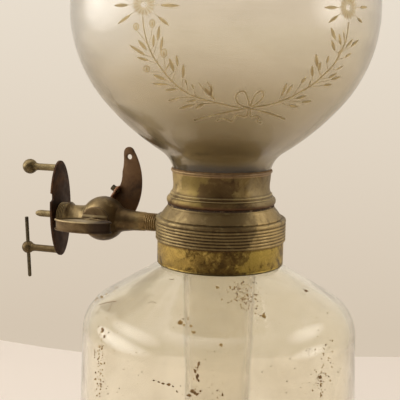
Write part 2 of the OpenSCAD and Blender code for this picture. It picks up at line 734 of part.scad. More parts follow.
module key_nut() {
    color([0.4, 0.33, 0.2])
    on_key(nut_y) difference() {
        cylinder(r = nut_flats / 2 / cos(30), h = nut_h, $fn = 6);
        translate([0, 0, -1]) cylinder(r = nut_thread_r + seat_gap, h = nut_h + 2);
    }
}

module lug_screw() {
    head_h = 2.4;
    color([0.2, 0.15, 0.1])
    lug_screw_at() {
        translate([0, 0, face_gap]) cylinder(r = lug_screw_r * 1.9, h = head_h, $fn = 32);
        translate([0, 0, -lever_t - 1]) cylinder(r = lug_screw_r, h = lever_t + 1 + face_gap + head_h / 2, $fn = 32);
    }
}

jar();
jar_cement();
jar_ferrule();
collar_body();
joint_washer();
globe_ferrule();
globe_cement();
globe();
mouth_ferrule();
mouth_cement();
filler_lid();
lid_knob();
cock_body();
ring_nut();
electrode_plate();
jet_nozzle();
upper_post();
lower_post();
spark_rod();
cock_key();
key_washer();
horn_lever();
key_nut();
lug_screw();
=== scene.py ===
"""Looks of the two-vessel hydrogen lamp. Lengths are in millimetres until a mesh is made."""

import math
import random

import bmesh
import bpy
from mathutils import Matrix, Vector, noise


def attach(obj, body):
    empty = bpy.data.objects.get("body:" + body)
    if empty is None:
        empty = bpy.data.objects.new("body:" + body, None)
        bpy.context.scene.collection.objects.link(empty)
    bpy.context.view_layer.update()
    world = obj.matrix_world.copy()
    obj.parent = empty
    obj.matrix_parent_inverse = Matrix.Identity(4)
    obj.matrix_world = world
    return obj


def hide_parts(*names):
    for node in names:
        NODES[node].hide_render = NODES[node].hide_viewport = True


MM = 0.001
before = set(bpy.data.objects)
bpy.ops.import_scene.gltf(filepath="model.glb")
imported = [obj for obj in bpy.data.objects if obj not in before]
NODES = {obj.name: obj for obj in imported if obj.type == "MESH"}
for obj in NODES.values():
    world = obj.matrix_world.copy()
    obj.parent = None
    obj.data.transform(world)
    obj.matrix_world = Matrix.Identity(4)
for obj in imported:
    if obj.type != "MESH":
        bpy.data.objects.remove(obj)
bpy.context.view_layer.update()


def srgb(r, g, b):
    """A colour given in 0-255 display values, as linear RGBA."""
    return tuple(((c / 255 + 0.055) / 1.055) ** 2.4 if c > 10 else c / 3294 for c in (r, g, b)) + (1.0,)


# --- Camera -----------------------------------------------------------------
CAM_AT = Vector((127.37, -404.77, 288.66))
CAM_HEADING = math.radians(18.997)
CAM_PITCH = math.radians(8.712)
CAM_ROLL = math.radians(0.965)
FOCAL_PX, FRAME_PX, SENSOR = 800.0, 400.0, 36

cam_forward = Vector(
    (
        -math.sin(CAM_HEADING) * math.cos(CAM_PITCH),
        math.cos(CAM_HEADING) * math.cos(CAM_PITCH),
        -math.sin(CAM_PITCH),
    )
)
level_right = Vector((math.cos(CAM_HEADING), math.sin(CAM_HEADING), 0))
level_up = level_right.cross(cam_forward)
cam_right = math.cos(CAM_ROLL) * level_right + math.sin(CAM_ROLL) * level_up
cam_up = math.cos(CAM_ROLL) * level_up - math.sin(CAM_ROLL) * level_right


def show(obj):
    bpy.context.scene.collection.objects.link(obj)
    return obj


camera_data = bpy.data.cameras.new("camera")
camera_data.sensor_width = SENSOR
camera_data.lens = SENSOR * FOCAL_PX / FRAME_PX
camera_data.clip_start, camera_data.clip_end = 0.02, 50
camera = show(bpy.data.objects.new("camera", camera_data))
cam_turn = Matrix((cam_right, cam_up, -cam_forward)).transposed().to_4x4()
camera.matrix_world = Matrix.Translation(CAM_AT * MM) @ cam_turn
bpy.context.scene.camera = camera


def sight(px, py):
    """Direction from the camera through a point of the 400 x 400 picture."""
    half = FRAME_PX / 2
    return (cam_forward * FOCAL_PX + cam_right * (px - half) - cam_up * (py - half)).normalized()


# --- Sizes, as in the CAD source --------------------------------------------
FACE_GAP = 0.1
JAR_FOOT_R, JAR_WALL_R, JAR_WALL_H = 78.0, 74.0, 153.3
SHOULDER_R, SHOULDER_PITCH = 20.0, 31.0
JAR_NECK_R, JAR_NECK_FILLET, JAR_GLASS_T, JAR_BASE_T, FOOT_ROUND = 31.2, 2.0, 3.0, 6.0, 4.0
COLLAR_Z, FERRULE_H, FERRULE_IN_R, FERRULE_R = 190.071, 13.0, 32.3, 33.95
FERRULE_TOP = COLLAR_Z + FERRULE_H
JAR_NECK_TOP = COLLAR_Z + 9
BAND_Z, BAND_R, BAND_H, RIDGES, RIDGE_DEPTH = FERRULE_TOP + FACE_GAP, 34.95, 9.6, 6, 0.5
RIDGE_PITCH = BAND_H / RIDGES
BAND_TOP = BAND_Z + BAND_H
DOME_H, DOME_TOP_R, BORE_R, WASHER_ROOM = 8.8, 28.6, 24.5, 0.8
DOME_TOP = BAND_TOP + DOME_H
RING_Z, RING_R, RING_H = DOME_TOP + WASHER_ROOM, 29.2, 4.0
RING_TOP = RING_Z + RING_H
WAIST_R, UNDER_LIP_R, LIP_R, LIP_Z, NOSE_LEN = 25.8, 26.4, 27.05, RING_Z + 18.4, 6.0
THROAT_R, THROAT_FILLET, THROAT_FLARE, THROAT_TURN = 26.1, 15.2, 13.3, 57.7
BOWL_LOW_R, BOWL_R, BOWL_TURN = 129.8, 72.6, 40.7
GLOBE_GLASS_T, GLOBE_NECK_R = 2.4, 22.6
TAIL_TOP_R, TAIL_MID_R, TAIL_END_R, TAIL_END_Z = 20.8, 17.8, 15.5, 28.0
MOUTH_R, MOUTH_FILLET, MOUTH_Z, MOUTH_LEN = 16.0, 8.0, 401.476, 11.0
MOUTH_TOP = MOUTH_Z + MOUTH_LEN
MOUTH_IN_R, MOUTH_OUT_R, MOUTH_RIM_Z = 17.05, 18.95, MOUTH_TOP + 1.6
LID_IN_R, LID_R, LID_Z, LID_WALL, LID_DOME_H, LID_SKIRT = 19.3, 20.6, MOUTH_RIM_Z + FACE_GAP, 1.3, 5.0, 7.0
KNOB_H, KNOB_R = 14.0, 5.6
TAP_Z, COCK_S, BALL_R = BAND_Z + 5.65, 69.5, 12.6
BALL_FRONT_Y, BALL_BACK_Y = -10.2, 10.6
INLET_S, INLET_R, INLET_LEN, INLET_ROOT_R = 27.0, 4.9, 16.0, 6.4
OUTLET_R, OUTLET_LEN, OUTLET_SHOULDER_R = 6.4, 21.9, 8.0
SHOULDER_S, NOSE_END_S, NOSE_R = COCK_S + OUTLET_LEN, 98.6, 4.5
RING_NUT_S, RING_NUT_LEN, RING_NUT_R, NUT_GROOVES = SHOULDER_S + FACE_GAP, 4.8, 7.5, 5
NUT_PITCH = RING_NUT_LEN / NUT_GROOVES
PLATE_S, PLATE_T, PLATE_Z, PLATE_HALF_H, PLATE_HALF_W = 96.4, 1.4, TAP_Z + 3.9, 27.6, 11.2
NOTCH_RISE, NOTCH_W, NOTCH_DEPTH = 7.6, 4.1, 2.6
PLATE_FRONT_S = PLATE_S + PLATE_T
JET_S, JET_TIP_S, JET_R, JET_BORE_R = NOSE_END_S + FACE_GAP, 113.1, 1.95, 0.5
POST_R, LOWER_POST_DROP, LOWER_POST_LEN = 2.0, 20.8, 21.0
ROD_R, ROD_LEN, ROD_LEAN = 1.05, 36.6, math.radians(4)
PLUG_FRONT_R, PLUG_BACK_R = 6.2, 4.6
THUMB_A, THUMB_B, THUMB_T, HEAD_R, HEAD_T, KEY_NECK = 16.8, 6.8, 6.2, 8.2, 2.2, 6.3
HEAD_Y = BALL_FRONT_Y - FACE_GAP
THUMB_Y = HEAD_Y - HEAD_T - KEY_NECK - THUMB_B
TAIL_SQUARE, TAIL_SQUARE_END, NUT_THREAD_R, TAIL_END_Y = 5.2, 15.6, 2.3, 19.7
LEVER_Y, LEVER_T, HUB_R = 14.4, 1.2, 6.6


# --- Mesh helpers -----------------------------------------------------------
def oval(cx, cy, rx, ry, start, end, steps=12):
    """Points on an oval from one angle to another, in degrees, as (x, y)."""
    angles = [math.radians(start + (end - start) * i / steps) for i in range(steps + 1)]
    return [(cx + rx * math.cos(a), cy + ry * math.sin(a)) for a in angles]


def arc(cx, cy, r, start, end, steps=12):
    return oval(cx, cy, r, r, start, end, steps)


def near(x, y, *moves):
    """Points given by how far each lies from (x, y)."""
    return [(x + dx, y + dy) for dx, dy in moves]


def unit(angle):
    """The direction at an angle in degrees."""
    return Vector((math.cos(math.radians(angle)), math.sin(math.radians(angle))))


def soften(profile, r, steps=3):
    """Rounds each sharp corner of a closed outline of (x, y) points, apart from those on the axis."""
    out = []
    for i, p in enumerate(profile):
        before, after = Vector(profile[i - 1]), Vector(profile[(i + 1) % len(profile)])
        p = Vector(p)
        to_a, to_b = before - p, after - p
        if p.x < 1e-6 or to_a.length < 1e-6 or to_b.length < 1e-6:
            out.append(tuple(p))
            continue
        bend = math.degrees(math.pi - to_a.angle(to_b))
        if bend < 28:
            out.append(tuple(p))
            continue
        cut = min(r, 0.4 * to_a.length, 0.4 * to_b.length)
        start, end = p + to_a.normalized() * cut, p + to_b.normalized() * cut
        for k in range(steps + 1):
            t = k / steps
            out.append(tuple((1 - t) ** 2 * start + 2 * t * (1 - t) * p + t * t * end))
    return out


def at_axis(p):
    return p


def on_tap(z=TAP_Z):
    """Places a form turned about z on the cock's axis: its z becomes the station towards -X."""
    return lambda p: Vector((-p.z, p.x, z + p.y))


def on_key(p):
    """Places a form turned about z on the key's axis: its z becomes +Y."""
    return Vector((-COCK_S + p.x, p.z, TAP_Z - p.y))


def mesh_object(name, bm, sharp=40):
    """A shown object from a bmesh in millimetres, smooth but for edges sharper than the angle."""
    bmesh.ops.recalc_face_normals(bm, faces=bm.faces)
    bmesh.ops.scale(bm, vec=(MM, MM, MM), verts=bm.verts)
    mesh = bpy.data.meshes.new(name)
    bm.to_mesh(mesh)
    bm.free()
    mesh.polygons.foreach_set("use_smooth", [True] * len(mesh.polygons))
    if sharp is not None:
        mesh.set_sharp_from_angle(angle=math.radians(sharp))
    return show(bpy.data.objects.new(name, mesh))


def turned(bm, profile, place, steps, ripple=None):
    """Adds a closed outline of (radius, height) points, turned about an axis, to a bmesh."""
    rings = []
    for r, h in profile:
        if r < 1e-6:
            rings.append([bm.verts.new(place(Vector((0, 0, h))))])
            continue
        ring = []
        for k in range(steps):
            a = 2 * math.pi * k / steps
            rr, hh = (r, h) if ripple is None else ripple(r, h, a)
            ring.append(bm.verts.new(place(Vector((rr * math.cos(a), rr * math.sin(a), hh)))))
        rings.append(ring)
    for i, low in enumerate(rings):
        high = rings[(i + 1) % len(rings)]
        if len(low) == 1 and len(high) == 1:
            continue
        for k in range(steps):
            j = k + 1
            quad = [low[k % len(low)], low[j % len(low)], high[j % len(high)], high[k % len(high)]]
            corners = list(dict.fromkeys(quad))
            if len(corners) > 2:
                bm.faces.new(corners)


def lathe(name, profile, place=at_axis, steps=144, ripple=None):
    bm = bmesh.new()
    turned(bm, profile, place, steps, ripple)
    return mesh_object(name, bm)


def slab(name, outlines, thickness, edge, place):
    """A plate from flat outlines (the first is its edge, the rest are holes), with rounded edges."""
    curve = bpy.data.curves.new(name + "_outline", "CURVE")
    curve.dimensions, curve.fill_mode = "2D", "BOTH"
    curve.extrude, curve.bevel_depth, curve.bevel_resolution = thickness / 2 - edge, edge, 2
    curve.offset = -edge
    for outline in outlines:
        spline = curve.splines.new("POLY")
        spline.points.add(len(outline) - 1)
        for point, (x, y) in zip(spline.points, outline):
            point.co = (x, y, 0, 1)
        spline.use_cyclic_u = True
    holder = show(bpy.data.objects.new(name + "_outline", curve))
    mesh = bpy.data.meshes.new_from_object(holder.evaluated_get(bpy.context.evaluated_depsgraph_get()))
    bm = bmesh.new()
    bm.from_mesh(mesh)
    bpy.data.objects.remove(holder)
    bpy.data.curves.remove(curve)
    bpy.data.meshes.remove(mesh)
    bmesh.ops.remove_doubles(bm, verts=bm.verts, dist=0.004)
    for v in bm.verts:
        v.co = place(v.co + Vector((0, 0, thickness / 2)))
    return mesh_object(name, bm)


def join(name, *objs):
    """One object from several, which it takes the place of."""
    bm = bmesh.new()
    for o in objs:
        bm.from_mesh(o.data)
    mesh = bpy.data.meshes.new(name)
    bm.to_mesh(mesh)
    bm.free()
    for o in objs:
        old = o.data
        bpy.data.objects.remove(o)
        bpy.data.meshes.remove(old)
    return show(bpy.data.objects.new(name, mesh))


# --- Shader helpers ---------------------------------------------------------
class Nodes:
    """A node tree and short names for the nodes that go into it."""

    def __init__(self, tree):
        self.tree = tree
        tree.nodes.clear()

    def add(self, kind, inputs=None, **settings):
        """A node with its settings made and its inputs set or linked."""
        node = self.tree.nodes.new("ShaderNode" + kind)
        for key, value in settings.items():
            setattr(node, key, value)
        for socket, source in (inputs or {}).items():
            self.link(source, node.inputs[socket])
        return node

    def link(self, source, socket):
        if hasattr(source, "is_output"):
            self.tree.links.new(source, socket)
        else:
            socket.default_value = source

    def math(self, operation, *terms, clamp=False):
        return self.add("Math", dict(enumerate(terms)), operation=operation, use_clamp=clamp).outputs[0]

    def times(self, a, b):
        return self.math("MULTIPLY", a, b)

    def plus(self, a, b):
        return self.math("ADD", a, b)

    def span(self, value, low, high, to_low=0.0, to_high=1.0, kind="SMOOTHSTEP"):
        ends = {"From Min": low, "From Max": high, "To Min": to_low, "To Max": to_high}
        return self.add("MapRange", {"Value": value, **ends}, interpolation_type=kind).outputs["Result"]

    def mix(self, factor, a, b, kind="MIX", data="RGBA"):
        inputs = {"Factor": factor, "A": a, "B": b}
        return self.add("Mix", inputs, data_type=data, blend_type=kind).outputs["Result"]

    def ramp(self, value, stops):
        node = self.add("ValToRGB", {0: value})
        points = node.color_ramp.elements
        while len(points) < len(stops):
            points.new(0.5)
        for point, (at, colour) in zip(points, stops):
            point.position, point.color = at, colour
        return node.outputs["Color"]


class Shader(Nodes):
    """A Principled material, and patterns in the object's own coordinates to feed it."""

    def __init__(self, name, **constants):
        self.mat = bpy.data.materials.new(name)
        self.mat.use_nodes = True
        super().__init__(self.mat.node_tree)
        inputs = {key.replace("_", " "): value for key, value in constants.items()}
        self.bsdf = self.add("BsdfPrincipled", inputs)
        self.add("OutputMaterial", {"Surface": self.bsdf.outputs[0]})
        self.place = self.add("TexCoord").outputs["Object"]
        self.axes = self.add("SeparateXYZ", {0: self.place}).outputs

    def feed(self, socket, source):
        self.link(source, self.bsdf.inputs[socket])

    def stretch(self, x, y, z, shift=(0, 0, 0)):
        return self.add("Mapping", {"Vector": self.place, "Scale": (x, y, z), "Location": shift}).outputs[0]

    def noise(self, scale, detail=4.0, rough=0.55, where=None, distort=0.0):
        inputs = {"Vector": where or self.place, "Scale": scale, "Detail": detail}
        return self.add("TexNoise", {**inputs, "Roughness": rough, "Distortion": distort}).outputs["Fac"]

    def spots(self, scale):
        return self.add("TexVoronoi", {"Vector": self.place, "Scale": scale}).outputs["Distance"]

    def bump(self, height, distance, strength, under=None):
        inputs = {"Height": height, "Distance": distance, "Strength": strength}
        if under is not None:
            inputs["Normal"] = under
        return self.add("Bump", inputs).outputs["Normal"]

    def tone(self, value, low, dark, high, light):
        """From a dark colour to a light one, given in display values, as a pattern goes from low to high."""
        self.feed("Base Color", self.ramp(value, [(low, srgb(*dark)), (high, srgb(*light))]))

    def rise(self, low, high):
        """0 below one height in millimetres and 1 above the other."""
        return self.span(self.axes["Z"], low * MM, high * MM)

    def fall(self, low, high):
        return self.span(self.axes["Z"], low * MM, high * MM, 1, 0)

    def shade(self, mask, colour, tint):
        """The colour, multiplied by a tint where the mask is 1."""
        return self.mix(mask, colour, self.mix(1.0, colour, (*tint, 1), "MULTIPLY"))

    def facing(self, azimuth):
        """1 on the side of the axis that lies at an azimuth (0 at -Y, 90 at +X), -1 opposite to it."""
        x, y = self.axes["X"], self.axes["Y"]
        a = math.radians(azimuth)
        along = self.math("SUBTRACT", self.times(x, math.sin(a)), self.times(y, math.cos(a)))
        reach = self.math("SQRT", self.plus(self.times(x, x), self.times(y, y)))
        return self.math("DIVIDE", along, self.plus(reach, 1e-6))


def brass(
    name, tones, painted_light_zones=(), bands=(), rough=0.46, mottle=120.0, wear=0.4, pits=0.35, lines=0.0, metal=0.82
):
    """Old brass: a patina in patches of three tones, dark to light, fine pits, and turning marks along z.

    Colours are in display values. Each zone is painted light or painted shade on one side of the axis, as
    (azimuth, half width, colour, strength). Each band is a colour laid between two stations, which is painted
    shade, a painted highlight or a stain, as (axis, from, to, softness, colour, strength).
    """
    dark, mid, light = [srgb(*tone) for tone in tones]
    s = Shader(name, Metallic=metal)
    colour = s.ramp(s.noise(mottle, 7, 0.68, distort=0.8), [(0.36, dark), (0.5, mid), (0.66, light)])
    # Painted light and painted shade on one side of the axis, with a ragged edge.
    for azimuth, half, shade_light_or_stain, strength in painted_light_zones:
        ragged_edge = s.math("MULTIPLY_ADD", s.noise(mottle * 0.7, 5, 0.65), 0.9, -0.45)
        within = math.cos(math.radians(half * 1.3))
        mask = s.span(s.plus(s.facing(azimuth), ragged_edge), within, 0.98, 0, strength)
        colour = s.mix(mask, colour, srgb(*shade_light_or_stain))
    for axis, low, high, soft, shade_light_or_stain, strength in bands:
        wander = s.math("MULTIPLY_ADD", s.noise(mottle * 1.5, 4, 0.6), soft * 2 * MM, -soft * MM)
        at = s.plus(s.axes[axis], wander)
        above = s.span(at, (low - soft) * MM, (low + soft) * MM)
        below = s.span(at, (high - soft) * MM, (high + soft) * MM, 1, 0)
        colour = s.mix(s.times(s.times(above, below), strength), colour, srgb(*shade_light_or_stain))
    fine = s.noise(mottle * 7, 5, 0.7)
    colour = s.mix(s.span(fine, 0.5, 0.78, 0, pits), colour, dark)
    bright = s.noise(mottle * 2.3, 3, 0.5, where=s.stretch(1, 1, 1, (0.3, 0.1, 0.7)))
    colour = s.mix(s.span(bright, 0.56, 0.74, 0, wear), colour, light)
    s.feed("Base Color", colour)
    s.feed("Roughness", s.span(s.noise(mottle * 3, 4), 0.3, 0.7, rough - 0.08, rough + 0.08))
    grain = s.bump(fine, 0.00004, 0.35)
    if lines:
        marks = s.noise(2600, 3, 0.6, where=s.stretch(0.02, 0.02, 1))
        grain = s.bump(marks, 0.00004, lines, grain)
    s.feed("Normal", grain)
    return s


# --- Materials --------------------------------------------------------------
# A band runs from one place to another along an axis, in millimetres; Z is the height above the table.
# Painted shade in grooves, and painted highlight lines on rims.
GROOVE_SHADE = (62, 44, 26)
PAINTED_RIM_HIGHLIGHT = (196, 178, 132)
FAR_DOWN = 150
VIEW_SIDE = 19


def painted_ridge_band(step, half, colour, strength):
    """Painted groove shade, or a crown lightened by wear and painted highlight, some ridges up the collar's
    band.
    """
    z = BAND_Z + step * RIDGE_PITCH
    return ("Z", z - half, z + half, half, colour, strength)


# Painted shade where the collar faces the viewer and painted highlights on its left and right; on the band,
# painted shade in the grooves and crowns lightened partly by wear and partly as painted highlight; painted
# shade over the dome's upper part.
collar_brass = brass(
    "collar_brass",
    [(84, 68, 44), (128, 111, 76), (158, 140, 98)],
    painted_light_zones=[(14, 38, (82, 64, 38), 0.78), (-66, 24, (164, 144, 100), 0.6), (70, 20, (180, 156, 106), 0.6)],
    bands=[painted_ridge_band(i, 0.2, GROOVE_SHADE, 0.55) for i in range(RIDGES + 1)]
    + [painted_ridge_band(i + 0.5, 0.25, (188, 164, 112), 0.35) for i in range(RIDGES)]
    + [("Z", 216, 224, 0.5, (118, 101, 68), 0.45)],
    mottle=110, lines=0.5, rough=0.5, pits=0.6,
)
# Painted highlights on the left and right and painted shade where the ferrule faces the viewer; painted shade
# at its foot and painted shadow under the band's overhang.
ferrule_brass = brass(
    "ferrule_brass",
    [(58, 44, 20), (126, 102, 48), (190, 164, 88)],
    painted_light_zones=[(-34, 26, (200, 170, 92), 0.6), (29, 27, (84, 64, 30), 0.7), (64, 22, (200, 174, 86), 0.65)],
    bands=[("Z", 189.4, 191.1, 0.3, (66, 56, 32), 0.8), ("Z", 202.2, 203.4, 0.4, (84, 58, 34), 0.6)],
    mottle=210, pits=0.8, lines=0.3,
)
# Painted light round the globe ferrule: lighter left of the viewer's side, a painted highlight on the left,
# painted shade towards the viewer and a painted highlight on the right. The ring's underside is reddish brown
# with painted shade; painted highlight lines on the step edges above it with painted shade between them; a
# painted highlight line below the lip, and brown dirt on the lip.
globe_ferrule_brass = brass(
    "globe_ferrule_brass",
    [(72, 54, 30), (116, 95, 55), (146, 126, 80)],
    painted_light_zones=[
        (-18, 26, (126, 108, 56), 0.75), (-64, 22, (196, 172, 120), 0.75),
        (21, 16, (80, 58, 32), 0.75), (76, 26, (128, 114, 86), 0.6),
    ],
    bands=[
        ("Z", 221.5, 223.9, 0.5, (98, 66, 44), 0.75),
        ("Z", 226.4, 226.8, 0.15, PAINTED_RIM_HIGHLIGHT, 0.6), ("Z", 227.2, 227.6, 0.15, GROOVE_SHADE, 0.6),
        ("Z", 228.1, 228.5, 0.15, PAINTED_RIM_HIGHLIGHT, 0.6), ("Z", 228.8, 229.2, 0.2, GROOVE_SHADE, 0.5),
        ("Z", 238.9, 239.4, 0.2, (186, 154, 116), 0.6), ("Z", 239.7, 241.0, 0.3, (150, 124, 96), 0.6),
    ],
    mottle=80, lines=0.6, rough=0.5, metal=0.72, pits=0.6,
)
# A painted highlight on the ball's left side and the outlet's root, painted shade over the ball's right half
# and the inlet's root, and a lighter band where the inlet's thread ends.
cock_brass = brass(
    "cock_brass",
    [(76, 60, 38), (136, 116, 78), (170, 150, 108)],
    bands=[
        ("X", -COCK_S - 16.5, -COCK_S - 5.5, 3, (172, 152, 112), 0.55),
        ("X", -COCK_S - 1.5, -COCK_S + 20.5, 4, (78, 60, 36), 0.85),
        ("X", -COCK_S + 23.5, -COCK_S + 32.5, 1.0, (158, 130, 86), 0.6),
    ],
    mottle=90, lines=0.2,
)
# A painted highlight on the thumb-piece's top face, and painted shade over its right end.
key_brass = brass(
    "key_brass",
    [(70, 52, 30), (104, 83, 52), (128, 107, 72)],
    bands=[
        ("Z", TAP_Z + 2.6, TAP_Z + 3.8, 0.1, (168, 150, 112), 0.75),
        ("X", -COCK_S + 7.5, -COCK_S + 29.5, 3, (46, 30, 22), 0.85),
    ],
    mottle=70, metal=0.65,
)
post_brass = brass(
    "post_brass",
    [(82, 69, 43), (120, 105, 73), (142, 126, 92)],
    bands=[("Z", FAR_DOWN, TAP_Z - 12, 3, (80, 62, 34), 0.7)],
    mottle=110, rough=0.5, pits=0.2,
)
lid_brass = brass("lid_brass", [(92, 72, 42), (152, 130, 84), (184, 160, 104)], mottle=90, lines=0.6)
plate_brass = brass(
    "plate_brass",
    [(36, 19, 6), (58, 33, 12), (82, 52, 22)],
    bands=[("Z", FAR_DOWN, TAP_Z - 12, 6, (44, 24, 10), 0.6)],
    mottle=90, rough=0.58, metal=0.7, wear=0.3,
)
horn_lacquer = brass(
    "horn_lacquer",
    [(66, 45, 26), (94, 67, 40), (114, 84, 52)],
    bands=[("Z", TAP_Z - 20, TAP_Z + 9, 4, (122, 90, 60), 0.75)],
    mottle=70, rough=0.44, metal=0.5, wear=0.35,
)
# The lug is copper brown, its tones lightened as a painted glint.
copper_with_painted_glint = brass("copper_with_painted_glint", [(104, 66, 44), (170, 122, 92), (206, 160, 128)], mottle=200, metal=0.5)
# Painted shade in the ring nut's grooves.
groove_at = [-RING_NUT_S - NUT_PITCH * i for i in range(NUT_GROOVES + 1)]
small_brass = brass(
    "small_brass",
    [(128, 108, 70), (152, 130, 88), (176, 156, 110)],
    bands=[("X", x - 0.22, x + 0.22, 0.1, (34, 24, 14), 0.9) for x in groove_at],
    mottle=180, rough=0.42, pits=0.1, metal=0.4,
)
dark_steel = brass(
    "dark_steel", [(56, 47, 28), (84, 73, 46), (108, 96, 66)], mottle=220, rough=0.5, metal=0.3
)

leather = Shader("leather", Roughness=0.85)
worn = leather.noise(700, 5, 0.65)
hide = leather.ramp(worn, [(0.3, srgb(40, 27, 17)), (0.7, srgb(86, 62, 40))])
pale_bits = leather.span(leather.noise(260, 4, 0.6), 0.54, 0.62)
leather.feed("Base Color", leather.mix(pale_bits, hide, srgb(142, 120, 88)))
leather.feed("Normal", leather.bump(worn, 0.0003, 0.8))

cement = Shader("cement", Roughness=0.9)
crumbs = cement.noise(500, 6, 0.7)
cement.tone(crumbs, 0.3, (106, 78, 46), 0.7, (164, 130, 84))
cement.feed("Normal", cement.bump(crumbs, 0.0004, 0.7))

# Jar glass: clear and slightly warm under a thin milky film, with small specks.
jar_glass = Shader("jar_glass", IOR=1.47)
g = jar_glass
film = g.noise(34, 5, 0.6, distort=0.5)
specks = g.times(g.span(g.spots(420), 0.02, 0.1, 1, 0), g.span(g.noise(60, 2), 0.6, 0.68))
tint = g.mix(g.span(film, 0.45, 0.75), (1.0, 0.975, 0.88, 1), (0.97, 0.925, 0.8, 1))
g.feed("Base Color", g.mix(g.times(specks, 0.6), tint, srgb(110, 80, 44)))
g.feed("Transmission Weight", g.span(film, 0.3, 0.75, 0.965, 0.9))
g.feed("Roughness", g.span(g.noise(90, 4), 0.35, 0.7, 0.04, 0.12))
g.feed("Normal", g.bump(g.noise(26, 2, 0.4), 0.0012, 0.3))

# Globe glass: a silvery film that browns towards the throat; the tail below it is clear.
globe_glass = Shader("globe_glass", IOR=1.47)
g = globe_glass
cloud = g.noise(14, 5, 0.6, distort=0.4)
streaks = g.noise(46, 5, 0.65, where=g.stretch(0.5, 0.5, 2.2))
# 0 at the foot of the throat and 1 at 100 mm above it.
climb = g.math("MULTIPLY_ADD", g.axes["Z"], 10.0, -2.35, clamp=True)
film_stops = [
    (0.02, (1.0, 0.98, 0.93, 1)), (0.06, (0.5, 0.44, 0.32, 1)), (0.16, (0.5, 0.44, 0.32, 1)),
    (0.26, (0.6, 0.54, 0.42, 1)), (0.42, (0.76, 0.7, 0.57, 1)), (0.58, (0.85, 0.8, 0.7, 1)),
    (0.74, (0.92, 0.88, 0.79, 1)), (0.9, (0.97, 0.935, 0.875, 1)),
]
film = g.ramp(g.plus(climb, g.math("MULTIPLY_ADD", cloud, 0.05, -0.025)), film_stops)
above_tail = g.rise(235, 239)
streaky = g.times(g.span(streaks, 0.5, 0.8, 0, 0.35), above_tail)
film = g.mix(streaky, film, g.mix(0.5, film, srgb(170, 150, 112)))
# The film is darker towards the viewer and opposite; low on the left is a painted dark reflection, and above
# that painted light.
near_axis = g.times(g.span(g.math("ABSOLUTE", g.facing(VIEW_SIDE)), 0.7, 0.98), g.fall(255, 310))
film = g.shade(g.times(near_axis, above_tail), film, (0.84, 0.81, 0.76))
left_painted_reflection = g.times(g.span(g.facing(-62), 0.88, 0.97), g.times(g.rise(246, 254), g.fall(262, 285)))
film = g.shade(left_painted_reflection, film, (0.84, 0.8, 0.72))
left_painted_light = g.times(g.span(g.facing(-70), 0.35, 0.8), g.rise(285, 315))
film = g.mix(left_painted_light, film, (1.0, 0.985, 0.95, 1))
# Fine wiped streaks, and one round darker patch low on the viewer's side.
wipes = g.noise(520, 4, 0.6, where=g.stretch(0.12, 0.12, 2.0))
film = g.shade(g.span(wipes, 0.52, 0.7, 0, 0.5), film, (0.94, 0.93, 0.9))
low_dark_patch = g.times(g.span(g.facing(VIEW_SIDE), 0.74, 0.82), g.fall(256, 262))
film = g.shade(g.times(low_dark_patch, above_tail), film, (0.76, 0.72, 0.64))
g.feed("Base Color", film)
g.feed("Transmission Weight", g.span(cloud, 0.35, 0.7, 0.97, 0.93))
g.feed("Roughness", g.span(streaks, 0.35, 0.75, 0.12, 0.24))
g.feed("Normal", g.bump(g.noise(16, 2, 0.4), 0.0014, 0.3))

# The engraving is matt glass with dirt in it, so it takes most of its light from behind.
engraved_line = Shader("engraved_line", Roughness=0.45, Transmission_Weight=0.85, IOR=1.05)
line_dirt = [(0.35, (0.64, 0.54, 0.36, 1)), (0.65, (0.85, 0.76, 0.56, 1))]
engraved_line.feed("Base Color", engraved_line.ramp(engraved_line.noise(220, 4), line_dirt))
engraved_frost = Shader("engraved_frost", Roughness=0.5, Transmission_Weight=0.85, IOR=1.05)
frost_dirt = [(0.3, (0.93, 0.87, 0.72, 1)), (0.7, (1.0, 0.97, 0.88, 1))]
engraved_frost.feed("Base Color", engraved_frost.ramp(engraved_frost.noise(400, 3), frost_dirt))
dark_mark = Shader("dark_mark", Roughness=0.7)
dark_mark.tone(dark_mark.noise(900, 4), 0.35, (92, 64, 28), 0.65, (146, 112, 62))
tan_mark = Shader("tan_mark", Roughness=0.7, Transmission_Weight=0.25, IOR=1.05)
tan_mark.tone(tan_mark.noise(500, 4), 0.35, (150, 118, 68), 0.65, (196, 168, 116))


def finish_piece(obj, shader, body, slot, *nodes):
    """Gives a piece its material, the body it rides on, and the CAD nodes it stands for. The slot is not
    used.
    """
    obj.data.materials.clear()
    obj.data.materials.append(shader.mat)
    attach(obj, body)
    if nodes:
        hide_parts(*nodes)
    return obj


def turned_piece(name, profile, shader, slot, node, body="vessel", **how):
    return finish_piece(lathe(name, profile, **how), shader, body, slot, node)


def repaint(node, shader, bevel=0.0):
    obj = NODES[node]
    obj.data.materials.clear()
    obj.data.materials.append(shader.mat)
    if bevel:
        edge = obj.modifiers.new("edge", "BEVEL")
        edge.width, edge.segments = bevel * MM, 2
        edge.limit_method, edge.angle_limit = "ANGLE", math.radians(40)


# --- Glass vessels ----------------------------------------------------------
WALL_SWELL = 0.25
shoulder_turn = 90 - SHOULDER_PITCH
pitch = math.radians(SHOULDER_PITCH)
slope_x = JAR_WALL_R - SHOULDER_R + SHOULDER_R * math.cos(math.radians(shoulder_turn))
slope_z = JAR_WALL_H + SHOULDER_R * math.sin(math.radians(shoulder_turn))
neck_x = JAR_NECK_R + JAR_NECK_FILLET
slope_run = slope_x + JAR_NECK_FILLET * math.sin(pitch) - neck_x
neck_z = slope_z + JAR_NECK_FILLET * math.cos(pitch) + slope_run * math.tan(pitch)


